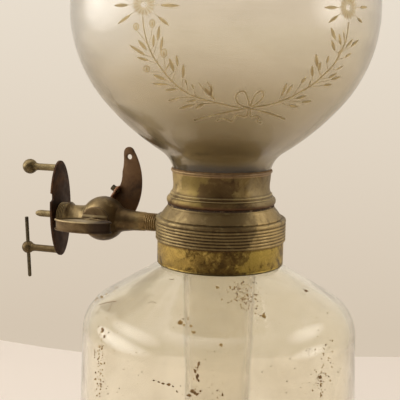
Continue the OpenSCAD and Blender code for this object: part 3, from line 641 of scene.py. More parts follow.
def jar_side(t):
    """The jar's shoulder and neck at a depth t in the glass."""
    return (
        arc(JAR_WALL_R - SHOULDER_R, JAR_WALL_H, SHOULDER_R - t, 0, shoulder_turn, 24)
        + arc(neck_x, neck_z, JAR_NECK_FILLET + t, 180 + shoulder_turn, 180, 8)
        + [(JAR_NECK_R - t, JAR_NECK_TOP)]
    )


def wall(foot, top, steps=20):
    """A nearly straight wall between two (radius, height) points, swelling a little as blown glass does."""
    out = []
    for i in range(1, steps):
        f = i / steps
        r = foot[0] + (top[0] - foot[0]) * f + WALL_SWELL * math.sin(math.pi * f)
        out.append((r, foot[1] + (top[1] - foot[1]) * f))
    return out


foot_x = JAR_FOOT_R - FOOT_ROUND
outer = arc(foot_x, FOOT_ROUND, FOOT_ROUND, -90, 0, 10)
inner = arc(foot_x - JAR_GLASS_T, JAR_BASE_T + FOOT_ROUND, FOOT_ROUND, 0, -90, 10)
jar_profile = (
    [(0, 0), (foot_x * 0.8, 0)]
    + outer
    + wall(outer[-1], jar_side(0)[0])
    + jar_side(0)
    + jar_side(JAR_GLASS_T)[::-1]
    + wall(inner[0], jar_side(JAR_GLASS_T)[0])[::-1]
    + inner
    + [(0, JAR_BASE_T)]
)
turned_piece("jar_glass", jar_profile, jar_glass, "jar_glass", "jar", steps=192)

# Going up, the globe's section is the throat's fillet, a flat arc, a rounder arc and the mouth's fillet.
throat_c = Vector((THROAT_R, LIP_Z + 0.2)) + unit(-THROAT_FLARE) * THROAT_FILLET
bowl_low_c = throat_c - unit(-THROAT_TURN) * (BOWL_LOW_R + THROAT_FILLET)
bowl_c = bowl_low_c + unit(-BOWL_TURN) * (BOWL_LOW_R - BOWL_R)
mouth_turn = math.degrees(math.acos((MOUTH_R + MOUTH_FILLET - bowl_c.x) / (BOWL_R + MOUTH_FILLET)))


def globe_side(t):
    """The globe's section at a depth t in the glass, from the tail's open end up to the mouth."""
    return (
        [(TAIL_END_R - t, TAIL_END_Z), (TAIL_MID_R - t, (RING_Z + TAIL_END_Z) / 2), (TAIL_TOP_R - t, RING_Z)]
        + [(GLOBE_NECK_R - t, RING_Z + 2.5), (GLOBE_NECK_R - t, LIP_Z - 4)]
        + arc(*throat_c, THROAT_FILLET + t, 180 - THROAT_FLARE, 180 - THROAT_TURN, 16)
        + arc(*bowl_low_c, BOWL_LOW_R - t, -THROAT_TURN, -BOWL_TURN, 24)
        + arc(*bowl_c, BOWL_R - t, -BOWL_TURN, mouth_turn, 96)[1:]
        + arc(MOUTH_R + MOUTH_FILLET, MOUTH_Z, MOUTH_FILLET + t, 180 + mouth_turn, 180, 12)
        + [(MOUTH_R - t, MOUTH_TOP)]
    )


globe_profile = globe_side(0) + globe_side(GLOBE_GLASS_T)[::-1]
turned_piece("globe_glass", globe_profile, globe_glass, "globe_glass", "globe", steps=192)

# --- Turned brass round the joint -------------------------------------------
bead = 0.7
ferrule_profile = (
    [(FERRULE_IN_R, COLLAR_Z)]
    + arc(FERRULE_R - bead, COLLAR_Z + bead, bead, -90, 60, 6)
    + [(FERRULE_R - 0.25, COLLAR_Z + 1.5), (FERRULE_R, COLLAR_Z + 1.8)]
    + near(FERRULE_R, FERRULE_TOP, (0, -0.15), (-0.15, 0))
    + [(FERRULE_IN_R, FERRULE_TOP)]
)
turned_piece("jar_ferrule_brass", ferrule_profile, ferrule_brass, "collar_brass", "jar_ferrule", steps=192)


def ridge_points():
    """The band's turned ridges, with rounded crowns."""
    out = []
    for i in range(RIDGES):
        z = BAND_Z + (i + 0.5) * RIDGE_PITCH
        for a in range(-90, 91, 15):
            crown = RIDGE_DEPTH * math.cos(math.radians(a)) ** 0.8
            out.append((BAND_R - RIDGE_DEPTH + crown, z + RIDGE_PITCH / 2 * 0.94 * math.sin(math.radians(a))))
    return out


def dome_points(steps=10):
    """A round bead on the band, a small groove, a cone that swells by a few hundredths, and a narrow rim."""
    foot, head = Vector((BAND_R - 2.4, BAND_TOP + 2.85)), Vector((DOME_TOP_R + 0.3, DOME_TOP - 0.95))
    cone = []
    for i in range(steps + 1):
        swell = Vector((0.06, 0.04)) * math.sin(math.pi * i / steps)
        cone.append(tuple(foot.lerp(head, i / steps) + swell))
    return (
        arc(BAND_R - 1.4, BAND_TOP + 1.15, 1.4, -50, 100, 24)
        + near(BAND_R, BAND_TOP, (-2.3, 2.42), (-2.5, 2.47), (-2.52, 2.62))
        + cone
        + near(DOME_TOP_R, DOME_TOP, (0.12, -0.82), (0.02, -0.15), (-0.13, 0))
    )


spigot_bore = JAR_NECK_R - JAR_GLASS_T + 0.4
spigot_r, spigot_z = FERRULE_IN_R - 0.05, JAR_NECK_TOP + FACE_GAP
collar_profile = (
    [(spigot_bore, spigot_z), (spigot_r, spigot_z), (spigot_r, BAND_Z), (BAND_R - RIDGE_DEPTH, BAND_Z)]
    + ridge_points()
    + dome_points()
    + [(BORE_R, DOME_TOP), (BORE_R, BAND_Z + 1), (spigot_bore, BAND_Z - 1)]
)
turned_piece("collar_turned", collar_profile, collar_brass, "collar_brass", "collar_body", steps=192)


def ragged(r, h, a):
    """A ripple that frays the washer's outer edge."""
    if r < BORE_R + 1:
        return r, h
    coarse = noise.noise(Vector((math.cos(a) * 9, math.sin(a) * 9, h)))
    fine = noise.noise(Vector((math.cos(a) * 34, math.sin(a) * 34, h)))
    return r + 0.1 + 0.4 * (coarse + 0.5 * fine), h


washer_profile = (
    [(BORE_R + 0.1, DOME_TOP + 0.01)]
    + near(DOME_TOP_R, DOME_TOP, (-0.5, 0.01), (-0.3, 0.3))
    + near(DOME_TOP_R, RING_Z, (-0.4, -0.2), (-0.6, -0.01))
    + [(BORE_R + 0.1, RING_Z - 0.01)]
)
turned_piece(
    "joint_washer_leather", washer_profile, leather, "leather", "joint_washer", steps=288, ripple=ragged
)

ferrule_turned = soften(
    [(GLOBE_NECK_R + 0.3, RING_Z - NOSE_LEN), (BORE_R - 0.15, RING_Z - NOSE_LEN), (BORE_R - 0.15, RING_Z)]
    + oval(RING_R - 1.4, RING_Z + RING_H / 2, 1.4, RING_H / 2, -90, 90, 18)
    + near(RING_R, RING_TOP, (-1.5, 0.2), (-1.4, 0.6), (-2, 0.75), (-2, 2), (-2.6, 2.2))
    + near(WAIST_R, RING_TOP, (0.42, 3), (0.2, 3.8), (0, 5), (0.02, 7), (0.2, 8.6))
    + [(UNDER_LIP_R, LIP_Z - 1.4)]
    + near(LIP_R, LIP_Z, (-0.1, -1.1), (0, -0.9), (0, -0.25), (-0.25, 0))
    + [(THROAT_R + 0.25, LIP_Z), (THROAT_R + 0.25, LIP_Z - 0.4), (BORE_R - 0.2, LIP_Z - 2.6)]
    + [(BORE_R - 0.2, RING_Z + 0.8), (GLOBE_NECK_R + 0.3, RING_Z)],
    0.2,
)
turned_piece(
    "globe_ferrule_turned", ferrule_turned, globe_ferrule_brass, "collar_brass", "globe_ferrule", steps=192
)

# --- Filler mouth and lid ---------------------------------------------------
mouth_foot = MOUTH_Z + FACE_GAP
mouth_profile = soften(
    [(MOUTH_IN_R, mouth_foot)]
    + oval(MOUTH_OUT_R, mouth_foot + 1.1, 0.9, 1.1, -90, 90, 12)
    + [(MOUTH_OUT_R, MOUTH_RIM_Z), (MOUTH_R - GLOBE_GLASS_T, MOUTH_RIM_Z)]
    + [(MOUTH_R - GLOBE_GLASS_T, MOUTH_TOP + FACE_GAP), (MOUTH_IN_R, MOUTH_TOP + FACE_GAP)],
    0.2,
)
turned_piece("mouth_ferrule_turned", mouth_profile, lid_brass, "collar_brass", "mouth_ferrule")

STUD_R = 2.0
lid_top = LID_Z + LID_WALL + LID_DOME_H
lid_foot = LID_Z - LID_SKIRT
lid_profile = soften(
    [(LID_IN_R, lid_foot)]
    + near(LID_R, lid_foot, (0.6, 0), (0.6, 1.2), (0, 1.6))
    + near(LID_R, LID_Z, (0, -0.6), (0.25, 0), (0, 0.6))
    + oval(0, LID_Z + LID_WALL, LID_R, LID_DOME_H, 0, 84, 14)
    + [(STUD_R + 0.05, lid_top), (STUD_R + 0.05, LID_Z), (LID_IN_R, LID_Z)],
    0.2,
)
turned_piece("filler_lid_turned", lid_profile, lid_brass, "collar_brass", "filler_lid", body="lid")

knob_z = lid_top + FACE_GAP
knob_profile = (
    [(0, LID_Z + 0.2), (STUD_R, LID_Z + 0.2), (STUD_R, knob_z)]
    + near(0, knob_z, (4.2, 0), (4.45, 0.5), (4.3, 1.1), (3.2, 1.4), (2.6, 1.9), (2.25, 2.8), (2.25, 3.4))
    + arc(0, knob_z + KNOB_H - KNOB_R, KNOB_R, -62, 90, 24)
)
knob_profile[-1] = (0, knob_z + KNOB_H)
turned_piece("lid_knob_turned", knob_profile, lid_brass, "collar_brass", "lid_knob", body="lid", steps=96)

# --- Gas cock ---------------------------------------------------------------
MEET_R = 7.6
reach = math.sqrt(BALL_R**2 - MEET_R**2)
inlet_end, outlet_start = COCK_S - reach, COCK_S + reach
THREAD_PITCH, THREAD_STEPS = 1.25, 8


def threaded(low, high, thread_pitch, depth):
    """A ripple that cuts a real helical thread between two stations."""

    def cut(r, h, a):
        if low < h < high:
            phase = (h / thread_pitch - a / (2 * math.pi)) % 1
            return r - depth * (1 - abs(2 * phase - 1)) ** 1.5, h
        return r, h

    return cut


thread_count = int((INLET_LEN - 0.4) / THREAD_PITCH * THREAD_STEPS)
inlet_profile = (
    [(0, INLET_S), (INLET_R - 0.4, INLET_S)]
    + [(INLET_R + 0.15, INLET_S + 0.5 + i * THREAD_PITCH / THREAD_STEPS) for i in range(thread_count)]
    + near(INLET_R, INLET_S + INLET_LEN, (0, 0.2), (0.3, 0.8))
    + near(INLET_ROOT_R, inlet_end, (-0.9, -9), (-0.45, -6), (-0.05, -3.2), (0.35, -1.6), (1.0, -0.4))
    + [(MEET_R, inlet_end + 0.6), (0, inlet_end + 0.6)]
)
inlet_thread = threaded(INLET_S + 0.4, INLET_S + INLET_LEN, THREAD_PITCH, 0.5)
inlet = lathe("inlet", inlet_profile, on_tap(), 96, inlet_thread)
outlet_profile = (
    [(0, outlet_start - 0.6)]
    + near(MEET_R, outlet_start, (0, -0.6), (-0.1, 0.3))
    + near(OUTLET_R, outlet_start, (0.6, 1.0), (0.25, 2.2), (0, 4.5))
    + near(OUTLET_R, SHOULDER_S, (0, -3.2), (0.3, -2.4))
    + near(OUTLET_SHOULDER_R, SHOULDER_S, (-0.4, -1.3), (0, -0.7), (0, -0.15), (-0.15, 0))
    + [(NOSE_R, SHOULDER_S), (NOSE_R, NOSE_END_S - 0.2), (NOSE_R - 0.2, NOSE_END_S), (0, NOSE_END_S)]
)
outlet = lathe("outlet", outlet_profile, on_tap(), 96)


def ball_band(start_y, end_y, steps=40):
    """The ball's section between its two flat faces."""
    stations = [start_y + (end_y - start_y) * i / steps for i in range(steps + 1)]
    return [(math.sqrt(BALL_R**2 - y * y), y) for y in stations]


ball_profile = (
    [(PLUG_FRONT_R + 0.05, BALL_FRONT_Y)]
    + ball_band(BALL_FRONT_Y, BALL_BACK_Y)
    + [(PLUG_BACK_R + 0.05, BALL_BACK_Y)]
)
ball = lathe("ball", soften(ball_profile, 0.15), on_key)
finish_piece(join("cock_turned", inlet, outlet, ball), cock_brass, "vessel", "cock_brass", "cock_body")

ring_nut_profile = [(NOSE_R + 0.05, RING_NUT_S), (RING_NUT_R - 0.5, RING_NUT_S)]
for i in range(NUT_GROOVES):
    for k in range(7):
        crown = 0.45 * math.sin(math.pi * k / 6)
        station = RING_NUT_S + NUT_PITCH * (i + 0.08 + 0.84 * k / 6)
        ring_nut_profile.append((RING_NUT_R - 0.45 + crown, station))
nut_end = RING_NUT_S + RING_NUT_LEN
ring_nut_profile += [(RING_NUT_R - 0.5, nut_end), (NOSE_R + 0.05, nut_end)]
turned_piece(
    "ring_nut_turned", ring_nut_profile, small_brass, "dark_brass", "ring_nut", place=on_tap(), steps=96
)


# --- Plate, jet and posts ---------------------------------------------------
def plate_outline(steps=240):
    """The oval in (height above the plate's centre, y), with the notch worn into its -Y edge."""
    out = []
    for i in range(steps):
        a = 2 * math.pi * i / steps
        u, v = PLATE_HALF_H * math.cos(a), PLATE_HALF_W * math.sin(a)
        if v < 0 and abs(u - NOTCH_RISE) < NOTCH_W / 2:
            v = -PLATE_HALF_W + NOTCH_DEPTH * (1 - ((u - NOTCH_RISE) / (NOTCH_W / 2)) ** 6) ** 0.3
            v = max(v, -PLATE_HALF_W * math.sqrt(1 - (u / PLATE_HALF_H) ** 2))
        out.append((u, v))
    return out


def plate_place(p):
    return Vector((-PLATE_S - p.z, p.y, PLATE_Z + p.x))


plate = slab("electrode_plate_oval", [plate_outline()], PLATE_T, 0.2, plate_place)
finish_piece(plate, plate_brass, "vessel", "dark_brass", "electrode_plate")

JET_SEAT_R = 2.4
jet_profile = soften(
    [(0, JET_S - 5), (JET_SEAT_R, JET_S - 5), (JET_SEAT_R, JET_S)]
    + near(NOSE_R, JET_S, (0, 0), (0, 1.4))
    + near(JET_R, JET_S, (0.5, 1.5), (0, 2.2))
    + near(JET_R, JET_TIP_S, (0, -3), (-0.12, -2.2), (-0.45, -1), (-0.9, -0.2), (-1.1, 0))
    + [(JET_BORE_R, JET_TIP_S), (JET_BORE_R, JET_TIP_S - 3), (0, JET_TIP_S - 3)],
    0.15,
)
turned_piece("jet_turned", jet_profile, post_brass, "post_brass", "jet_nozzle", place=on_tap(), steps=72)


def post(name, z, length, ball_r, node):
    """A round post with a ball on its end, riveted into the plate."""
    end, rivet_r = PLATE_FRONT_S + length, 1.2
    profile = (
        [(0, PLATE_FRONT_S - 1.3), (rivet_r, PLATE_FRONT_S - 1.3), (rivet_r, PLATE_FRONT_S + 0.05)]
        + near(POST_R, PLATE_FRONT_S, (-0.15, 0.05), (0, 0.2))
        + near(POST_R, end - ball_r, (0, -1.5), (0.04, -0.95), (0.1, -0.5), (0.2, -0.1), (0.33, 0.3))
        + oval(0, end, ball_r, ball_r, -50, 85, 27)
        + [(0, end + ball_r)]
    )
    turned_piece(name, profile, post_brass, "post_brass", node, place=on_tap(z), steps=72)


lower_post_z = TAP_Z - LOWER_POST_DROP
post("upper_post_turned", TAP_Z + 27.2, 18.8, 4.3, "upper_post")
post("lower_post_turned", lower_post_z, LOWER_POST_LEN, 3.65, "lower_post")

rod_mid = Vector((-PLATE_FRONT_S - LOWER_POST_LEN, 0, lower_post_z))


def along_rod(p):
    return rod_mid + Matrix.Rotation(ROD_LEAN, 3, "X") @ p


rod_profile = (
    [(0, -ROD_LEN / 2)]
    + arc(0, ROD_R - ROD_LEN / 2, ROD_R, -75, 0, 5)
    + [(ROD_R, ROD_LEN / 2 - 0.2), (ROD_R - 0.2, ROD_LEN / 2), (0, ROD_LEN / 2)]
)
rod = lathe("spark_rod_steel", rod_profile, along_rod, 48)
finish_piece(rod, dark_steel, "rod", "dark_brass", "spark_rod")


# --- Key --------------------------------------------------------------------
def thumb_piece(edge=0.8, steps=128):
    """An oval bar lying flat. Its two rims are rounded, and its side between them is set in by the edge."""
    bm = bmesh.new()
    turns = [unit(a) for a in (90, 68, 45, 22, 0)]
    section = [(edge * (1 - way.y), -THUMB_T / 2 + edge * (1 - way.x)) for way in turns]
    section += [(inset, -z) for inset, z in reversed(section)]
    rows = []
    for inset, z in section:
        row = []
        for k in range(steps):
            a = 2 * math.pi * k / steps
            x, y = (THUMB_A - inset) * math.cos(a), (THUMB_B - inset) * math.sin(a)
            row.append(bm.verts.new((-COCK_S + x, THUMB_Y + y, TAP_Z + z)))
        rows.append(row)
    for low, high in zip(rows, rows[1:]):
        for k in range(steps):
            j = (k + 1) % steps
            bm.faces.new((low[k], low[j], high[j], high[k]))
    for row, z in ((rows[0], -THUMB_T / 2), (rows[-1], THUMB_T / 2)):
        centre = bm.verts.new((-COCK_S, THUMB_Y, TAP_Z + z))
        for k in range(steps):
            bm.faces.new((row[k], row[(k + 1) % steps], centre))
    return mesh_object("thumb", bm, 50)


head_front = HEAD_Y - HEAD_T
key_neck_r, key_neck_y = THUMB_T * 0.48, head_front - KEY_NECK - 2.5
plug_profile = soften(
    [(0, key_neck_y), (key_neck_r, key_neck_y), (key_neck_r, head_front)]
    + [(HEAD_R - 0.5, head_front), (HEAD_R, head_front + 0.5), (HEAD_R, HEAD_Y)]
    + [(PLUG_FRONT_R, HEAD_Y), (PLUG_FRONT_R, BALL_FRONT_Y), (PLUG_BACK_R, BALL_BACK_Y), (0, BALL_BACK_Y)],
    0.25,
)
plug = lathe("plug", plug_profile, on_key, 96)


def square_tail():
    """The square that carries the washer and lever, and the round end that carries the nut."""
    bm = bmesh.new()
    half, cut = TAIL_SQUARE / 2, 0.3
    ring = [(half, half - cut), (half - cut, half), (cut - half, half), (-half, half - cut)]
    ring += [(-x, -y) for x, y in ring]
    stations = (BALL_BACK_Y - 0.1, TAIL_SQUARE_END)
    low, high = [[bm.verts.new(on_key(Vector((x, y, h)))) for x, y in ring] for h in stations]
    for k in range(len(ring)):
        j = (k + 1) % len(ring)
        bm.faces.new((low[k], low[j], high[j], high[k]))
    bm.faces.new(low)
    bm.faces.new(high)
    start = TAIL_SQUARE_END - 0.4
    round_end = (
        [(0, start), (NUT_THREAD_R, start)]
        + near(NUT_THREAD_R, TAIL_END_Y, (0, -0.3), (-0.3, 0))
        + [(0, TAIL_END_Y)]
    )
    nut_thread = threaded(TAIL_SQUARE_END + 0.1, TAIL_END_Y - 0.2, 0.7, 0.18)
    turned(bm, soften(round_end, 0.2), on_key, 48, nut_thread)
    return mesh_object("tail", bm)


key = join("cock_key_turned", thumb_piece(), plug, square_tail())
finish_piece(key, key_brass, "key", "cock_brass", "cock_key")
repaint("key_washer", small_brass, 0.3)
repaint("key_nut", small_brass, 0.3)

# --- Horn lever -------------------------------------------------------------
FOLD_A, FOLD_B = Vector((3.4, 17.4)), Vector((-1.8, 9.2))
LUG_PROUD, LUG_INSET, LUG_DEPTH, LUG_CUT, SHEET_EDGE = 0.2, 0.3, 4.2, 0.9, 0.25
# The horn's arcs, each as its centre from the key's axis and its radius.
HORN_BACK, HORN_TIP, HORN_FRONT = (-18.65, 19.4, 35.7), (9, 36.6, 3.2), (-25.2, 33, 31)
HORN_HUB, HORN_EYE, HUB_MEET_X = (0, 0, HUB_R), (9.35, 34.1, 1.45), 4
hub_from = math.degrees(math.asin(math.sqrt(HUB_R**2 - HUB_MEET_X**2) / HUB_R))
horn_edge = (
    arc(*HORN_BACK, -34, 30, 60)
    + arc(*HORN_TIP, 34, 175, 24)
    + arc(*HORN_FRONT, 4, -14, 30)
    + [(4.75, 22.6), (4.3, 19.8), tuple(FOLD_A), tuple(FOLD_B)]
    + arc(*HORN_HUB, 180 - hub_from, 330, 40)
)
eye = arc(*HORN_EYE, 0, 350, 35)


def lever_place(p):
    return Vector((-COCK_S + p.x, LEVER_Y + LEVER_T - p.z, TAP_Z + p.y))


fold_len = (FOLD_B - FOLD_A).length
along = (FOLD_B - FOLD_A).normalized()
inward = Vector((-along.y, along.x))


def lug_place(p):
    """The lug's outline stands on the fold: x runs along it and y forward from the lever's back face."""
    flat = FOLD_A + along * p.x + inward * (p.z - LUG_PROUD)
    return lever_place(Vector((flat.x, flat.y, p.y)))


lug_end, lug_front = fold_len - LUG_INSET, LEVER_T + LUG_DEPTH
lug_side = (
    [(LUG_INSET, LUG_INSET), (lug_end, LUG_INSET)]
    + near(lug_end, lug_front, (0, -LUG_CUT), (-LUG_CUT, 0))
    + near(LUG_INSET, lug_front, (LUG_CUT, 0), (0, -LUG_CUT))
)
horn = slab("horn_plate", [horn_edge, eye], LEVER_T, SHEET_EDGE, lever_place)
lug = slab("horn_lug", [lug_side], LEVER_T, SHEET_EDGE, lug_place)
finish_piece(horn, horn_lacquer, "key", "dark_brass", "horn_lever")
finish_piece(lug, copper_with_painted_glint, "key", "dark_brass")
repaint("lug_screw", dark_steel, 0.15)

# --- Cement -----------------------------------------------------------------
# A bead stands on the globe ferrule's lip, round the throat.
bead_profile = (
    [(THROAT_R - 0.15, LIP_Z - 0.3)]
    + near(LIP_R, LIP_Z, (-0.35, -0.3), (-0.3, 0.15), (-0.55, 0.45))
    + [(THROAT_R, LIP_Z + 0.7)]
)
finish_piece(lathe("cement_bead", bead_profile), cement, "vessel", "cement")
for name in ("jar_cement", "globe_cement", "mouth_cement"):
    repaint(name, cement)


# --- Engraved wreath --------------------------------------------------------
def globe_gap(r, z):
    """How far a point lies outside the globe's face, and the face's normal, both as (radius, height)."""
    centre, face_r = bowl_c, BOWL_R
    if math.atan2(z - bowl_c.y, r - bowl_c.x) < -math.radians(BOWL_TURN):
        centre, face_r = bowl_low_c, BOWL_LOW_R
    out = Vector((r, z)) - centre
    return out.length - face_r, out.normalized()


def jar_gap(r, z):
    """The same for the jar's wall, its rounding and the slope of its shoulder."""
    out = Vector((r - JAR_WALL_R + SHOULDER_R, z - JAR_WALL_H))
    if out.y < 0:
        wall_h = JAR_WALL_H - FOOT_ROUND
        f = (z - FOOT_ROUND) / wall_h
        wall_r = JAR_FOOT_R + (JAR_WALL_R - JAR_FOOT_R) * f + WALL_SWELL * math.sin(math.pi * f)
        return r - wall_r, Vector((1, (JAR_FOOT_R - JAR_WALL_R) / wall_h)).normalized()
    if math.degrees(math.atan2(out.y, out.x)) < shoulder_turn:
        return out.length - SHOULDER_R, out.normalized()
    up = unit(shoulder_turn)
    return (Vector((r - slope_x, z - slope_z))).dot(up), up


FIRST_STEP, MOST_STEPS, STUCK_LIFT = 280.0, 160, 0.01


def on_vessel(px, py, gap_of, lift):
    """The point of a vessel's outer face seen at a point of the picture, raised along its normal."""
    way, t = sight(px, py), FIRST_STEP
    for _ in range(MOST_STEPS):
        p = CAM_AT + way * t
        r = math.hypot(p.x, p.y)
        gap, normal = gap_of(r, p.z)
        t += 0.9 * gap
        if abs(gap) < 1e-4:
            break
    return p + Vector((normal.x * p.x / r, normal.x * p.y / r, normal.y)) * lift


def patch(bm, rows, lift, gap_of=globe_gap):
    """A thin closed patch on a vessel from rows of picture points."""
    top = [[bm.verts.new(on_vessel(x, y, gap_of, lift)) for x, y in row] for row in rows]
    low = [[bm.verts.new(on_vessel(x, y, gap_of, STUCK_LIFT)) for x, y in row] for row in rows]
    m, n = len(rows), len(rows[0])
    for i in range(m - 1):
        for k in range(n - 1):
            bm.faces.new((top[i][k], top[i][k + 1], top[i + 1][k + 1], top[i + 1][k]))
            bm.faces.new((low[i][k], low[i + 1][k], low[i + 1][k + 1], low[i][k + 1]))
    rim = [(0, k) for k in range(n)] + [(i, n - 1) for i in range(1, m)]
    rim += [(m - 1, k) for k in range(n - 2, -1, -1)] + [(i, 0) for i in range(m - 2, 0, -1)]
    for (i, k), (j, h) in zip(rim, rim[1:] + rim[:1]):
        bm.faces.new((top[i][k], low[i][k], low[j][h], top[j][h]))


def smooth_path(points, per):
    """A Catmull-Rom path through picture points."""
    pts = [Vector(p) for p in points]
    pts = [2 * pts[0] - pts[1]] + pts + [2 * pts[-1] - pts[-2]]
    out = []
    for i in range(1, len(pts) - 2):
        a, b, c, d = pts[i - 1 : i + 3]
        for k in range(per):
            t = k / per
            curve = (2 * a - 5 * b + 4 * c - d) * t * t + (3 * b - a - 3 * c + d) * t**3
            out.append(0.5 * (2 * b + (c - a) * t + curve))
    return out + [pts[-2]]


def stroke(bm, points, width, lift, taper, per=6, gap_of=globe_gap):
    """A line along picture points, its width swelling from one end's share to the other's."""
    path = smooth_path(points, per)
    rows, last = [], len(path) - 1
    for i, p in enumerate(path):
        way = (path[min(i + 1, last)] - path[max(i - 1, 0)]).normalized()
        half = width / 2 * (taper[0] + (taper[1] - taper[0]) * i / last)
        side = Vector((-way.y, way.x)) * half
        rows.append([tuple(p - side), tuple(p), tuple(p + side)])
    patch(bm, rows, lift, gap_of)


def leaf(bm, base, tip, width, lift, steps=9):
    """A pointed, lens-shaped leaf from its base to its tip."""
    a, b = Vector(base), Vector(tip)
    way = (b - a).normalized()
    side = Vector((-way.y, way.x))
    rows = []
    for i in range(steps + 1):
        t = i / steps
        half = width / 2 * max(0.06, math.sin(math.pi * (0.04 + 0.94 * t) ** 0.85) ** 0.9)
        p = a + (b - a) * t
        rows.append([tuple(p - side * half), tuple(p), tuple(p + side * half)])
    patch(bm, rows, lift)


# Picture points of the two sprays' stems, from the flower down to the bow.
LEFT_STEM = [
    (142.8, 16.6), (144, 29), (147.4, 43), (153.2, 56.4), (159.8, 66.3), (168.9, 78), (179.7, 88),
    (192, 95.4), (207, 100.3), (223.7, 104.5), (241, 107.8),
]
RIGHT_STEM = [
    (348.6, 22.4), (347.4, 33.2), (344.9, 43), (339.5, 54.7), (333, 65.5), (324.6, 74), (313.8, 83.7),
    (303, 90.4), (291.4, 97), (280.7, 101.2), (270, 104.5), (253.5, 107.4),
]
# Each leaf: where it leaves the stem, where the leaf itself starts, its tip, and its width.
LEAVES = [
    ((150, 52), (153.4, 46.5), (153.6, 34.5), 2.6), ((153, 57), (157.7, 40), (159.4, 25.7), 2.9),
    ((157, 63), (160.6, 50.6), (162.7, 36.5), 2.6), ((168, 77), (174, 71.4), (168.9, 58), 3.4),
    ((172, 82), (177.6, 66.3), (176.4, 55), 2.6), ((182, 89), (183, 78), (183.4, 63.8), 3.0),
    ((151, 50), (146.5, 49.8), (137.8, 39.6), 3.0), ((153, 57), (145, 55.2), (129.1, 44.8), 2.8),
    ((156, 63), (148.2, 60.5), (136.4, 57), 2.6), ((172, 82), (165, 79.6), (153, 74.6), 3.2),
    ((177, 87), (168, 84.6), (152.3, 83.7), 2.6), ((186, 92), (176.4, 89), (165, 90), 2.6),
    ((194, 97), (180, 97.6), (168, 100.8), 1.8), ((208, 101), (197, 100), (186, 101.8), 2.2),
    ((212, 103), (193.5, 104.6), (178.9, 108.4), 2.8), ((216, 103), (204, 103.4), (195, 108.4), 2.6),
    ((188, 93), (187, 85), (185, 79), 1.4), ((196, 97), (194, 89), (191.5, 84), 1.4),
    ((344, 46), (335.2, 39.4), (331, 27.4), 3.0), ((340, 54), (334.6, 50.6), (331.6, 39.6), 2.8),
    ((342, 50), (340.8, 45), (339, 33.6), 2.2), ((345, 43), (344.4, 41), (343.6, 30), 1.2),
    ((322, 77), (317.2, 66.6), (315.9, 53.6), 3.2), ((321, 78), (318.6, 70.8), (320.6, 62), 2.6),
    ((313, 84), (312.2, 76.5), (312.2, 65.3), 2.8), ((328, 71), (326.7, 63.2), (328.9, 55.4), 2.0),
    ((293, 96), (301.4, 83), (306.2, 77), 2.8), ((279, 101), (281.5, 95.4), (287, 82.8), 2.4),
    ((284, 100), (286.5, 93.8), (292.8, 84.4), 2.4), ((341, 52), (351, 46.6), (358.7, 39.6), 2.2),
    ((343, 49), (346.2, 47.4), (352.9, 38.9), 1.9), ((337, 60), (345.3, 57.3), (351.2, 53), 2.0),
    ((330, 69), (336.2, 69.8), (343.8, 65.4), 1.4), ((320, 79), (328.7, 78), (337.1, 72.9), 2.2),
    ((316, 83), (331.2, 79.7), (340.9, 76.6), 2.2), ((310, 87), (323.8, 85.5), (331.8, 84.2), 2.4),
    ((286, 99.4), (296.4, 98.4), (306.5, 95.7), 2.4), ((288, 101), (302, 102.2), (311.5, 101), 2.6),
    ((280, 102.5), (289, 105.6), (298.2, 106.7), 3.0), ((340, 58), (337.6, 55), (341, 49), 1.0),
    ((304, 91), (309, 86), (311, 80), 1.2), ((166, 76), (166, 70), (170, 62), 1.2),
]
# Round buds: where the stalk leaves the stem, the bud's centre, and its half sizes.
BUDS = [
    ((148.5, 47), (152.3, 23.4), (2.6, 3.8)), ((148, 45), (136.2, 26.6), (2.6, 3.4)),
    ((165, 74), (163.9, 53.1), (3.0, 4.2)), ((163, 72), (146.6, 68.8), (3.0, 3.0)),
]
# The tulip-shaped bud on the left spray: its petals, and the frosted cup and heart as (base, tip, width).
TULIP = [
    [(214.5, 99.4), (210.6, 95), (206, 92), (198.6, 82.6)],
    [(210.6, 95), (210.8, 88), (207.2, 81.4)],
    [(211, 95), (212, 89), (211.6, 85)],
]
TULIP_CUP, TULIP_HEART = ((212.4, 97), (203.5, 84.5), 8), ((210.8, 95.5), (204.6, 87.8), 3.4)
# The bow's two loops, the stems' ends that cross under it, and its tails.
BOW = [
    [
        (247, 107.4), (240.4, 105), (236.6, 100.6), (236.2, 95.2), (240.4, 91.4), (245, 92.2),
        (248.1, 99.1), (249.6, 106),
    ],
    [
        (250.4, 106), (253.5, 98.3), (257.3, 93), (261.9, 91), (263.6, 95.2), (261.1, 99.8), (256.5, 103.7),
        (251.5, 107),
    ],
]
CROSSED = [
    [(250, 107.6), (240.4, 109.4), (214.4, 114.8), (194.2, 120.1)],
    [(247, 107.4), (253.5, 109.4), (270.3, 113.6), (284.8, 119)],
]
TAILS = [
    [
        (248.6, 109), (246.6, 115.6), (241.2, 115.9), (236.6, 115.1), (233.6, 119), (231.3, 121.3),
        (227.4, 119.7), (222.8, 118.2), (216.7, 120.5),
    ],
    [(250.2, 109), (250.4, 116.4), (255.7, 115.9), (258.8, 117.4), (257.3, 121.3), (261.4, 122.8)],
]
# Each flower: its centre, its half sizes, and the leaves round it as (angle, start, length, width).
FLOWERS = [
    ((143.8, 4.5), (13.2, 13.2), [
        (2, 17, 19, 3.4), (40, 19, 14, 3), (143, 17, 16, 2.6), (178, 16, 14, 3), (-45, 18, 14, 3),
        (-90, 17, 16, 3), (-135, 18, 14, 3),
    ]),
    ((348.2, 7.5), (9.4, 13.2), [
        (-1, 12, 7, 2.6), (48, 14, 7, 2.2), (142, 13, 12, 2.6), (180, 11, 13, 3), (-50, 16, 8, 2),
        (-90, 18, 14, 2.6), (-130, 16, 12, 2.6),
    ]),
]

lines, frost = bmesh.new(), bmesh.new()
LINE_LIFT, FROST_LIFT = 0.07, 0.035
EVEN = (1, 1)


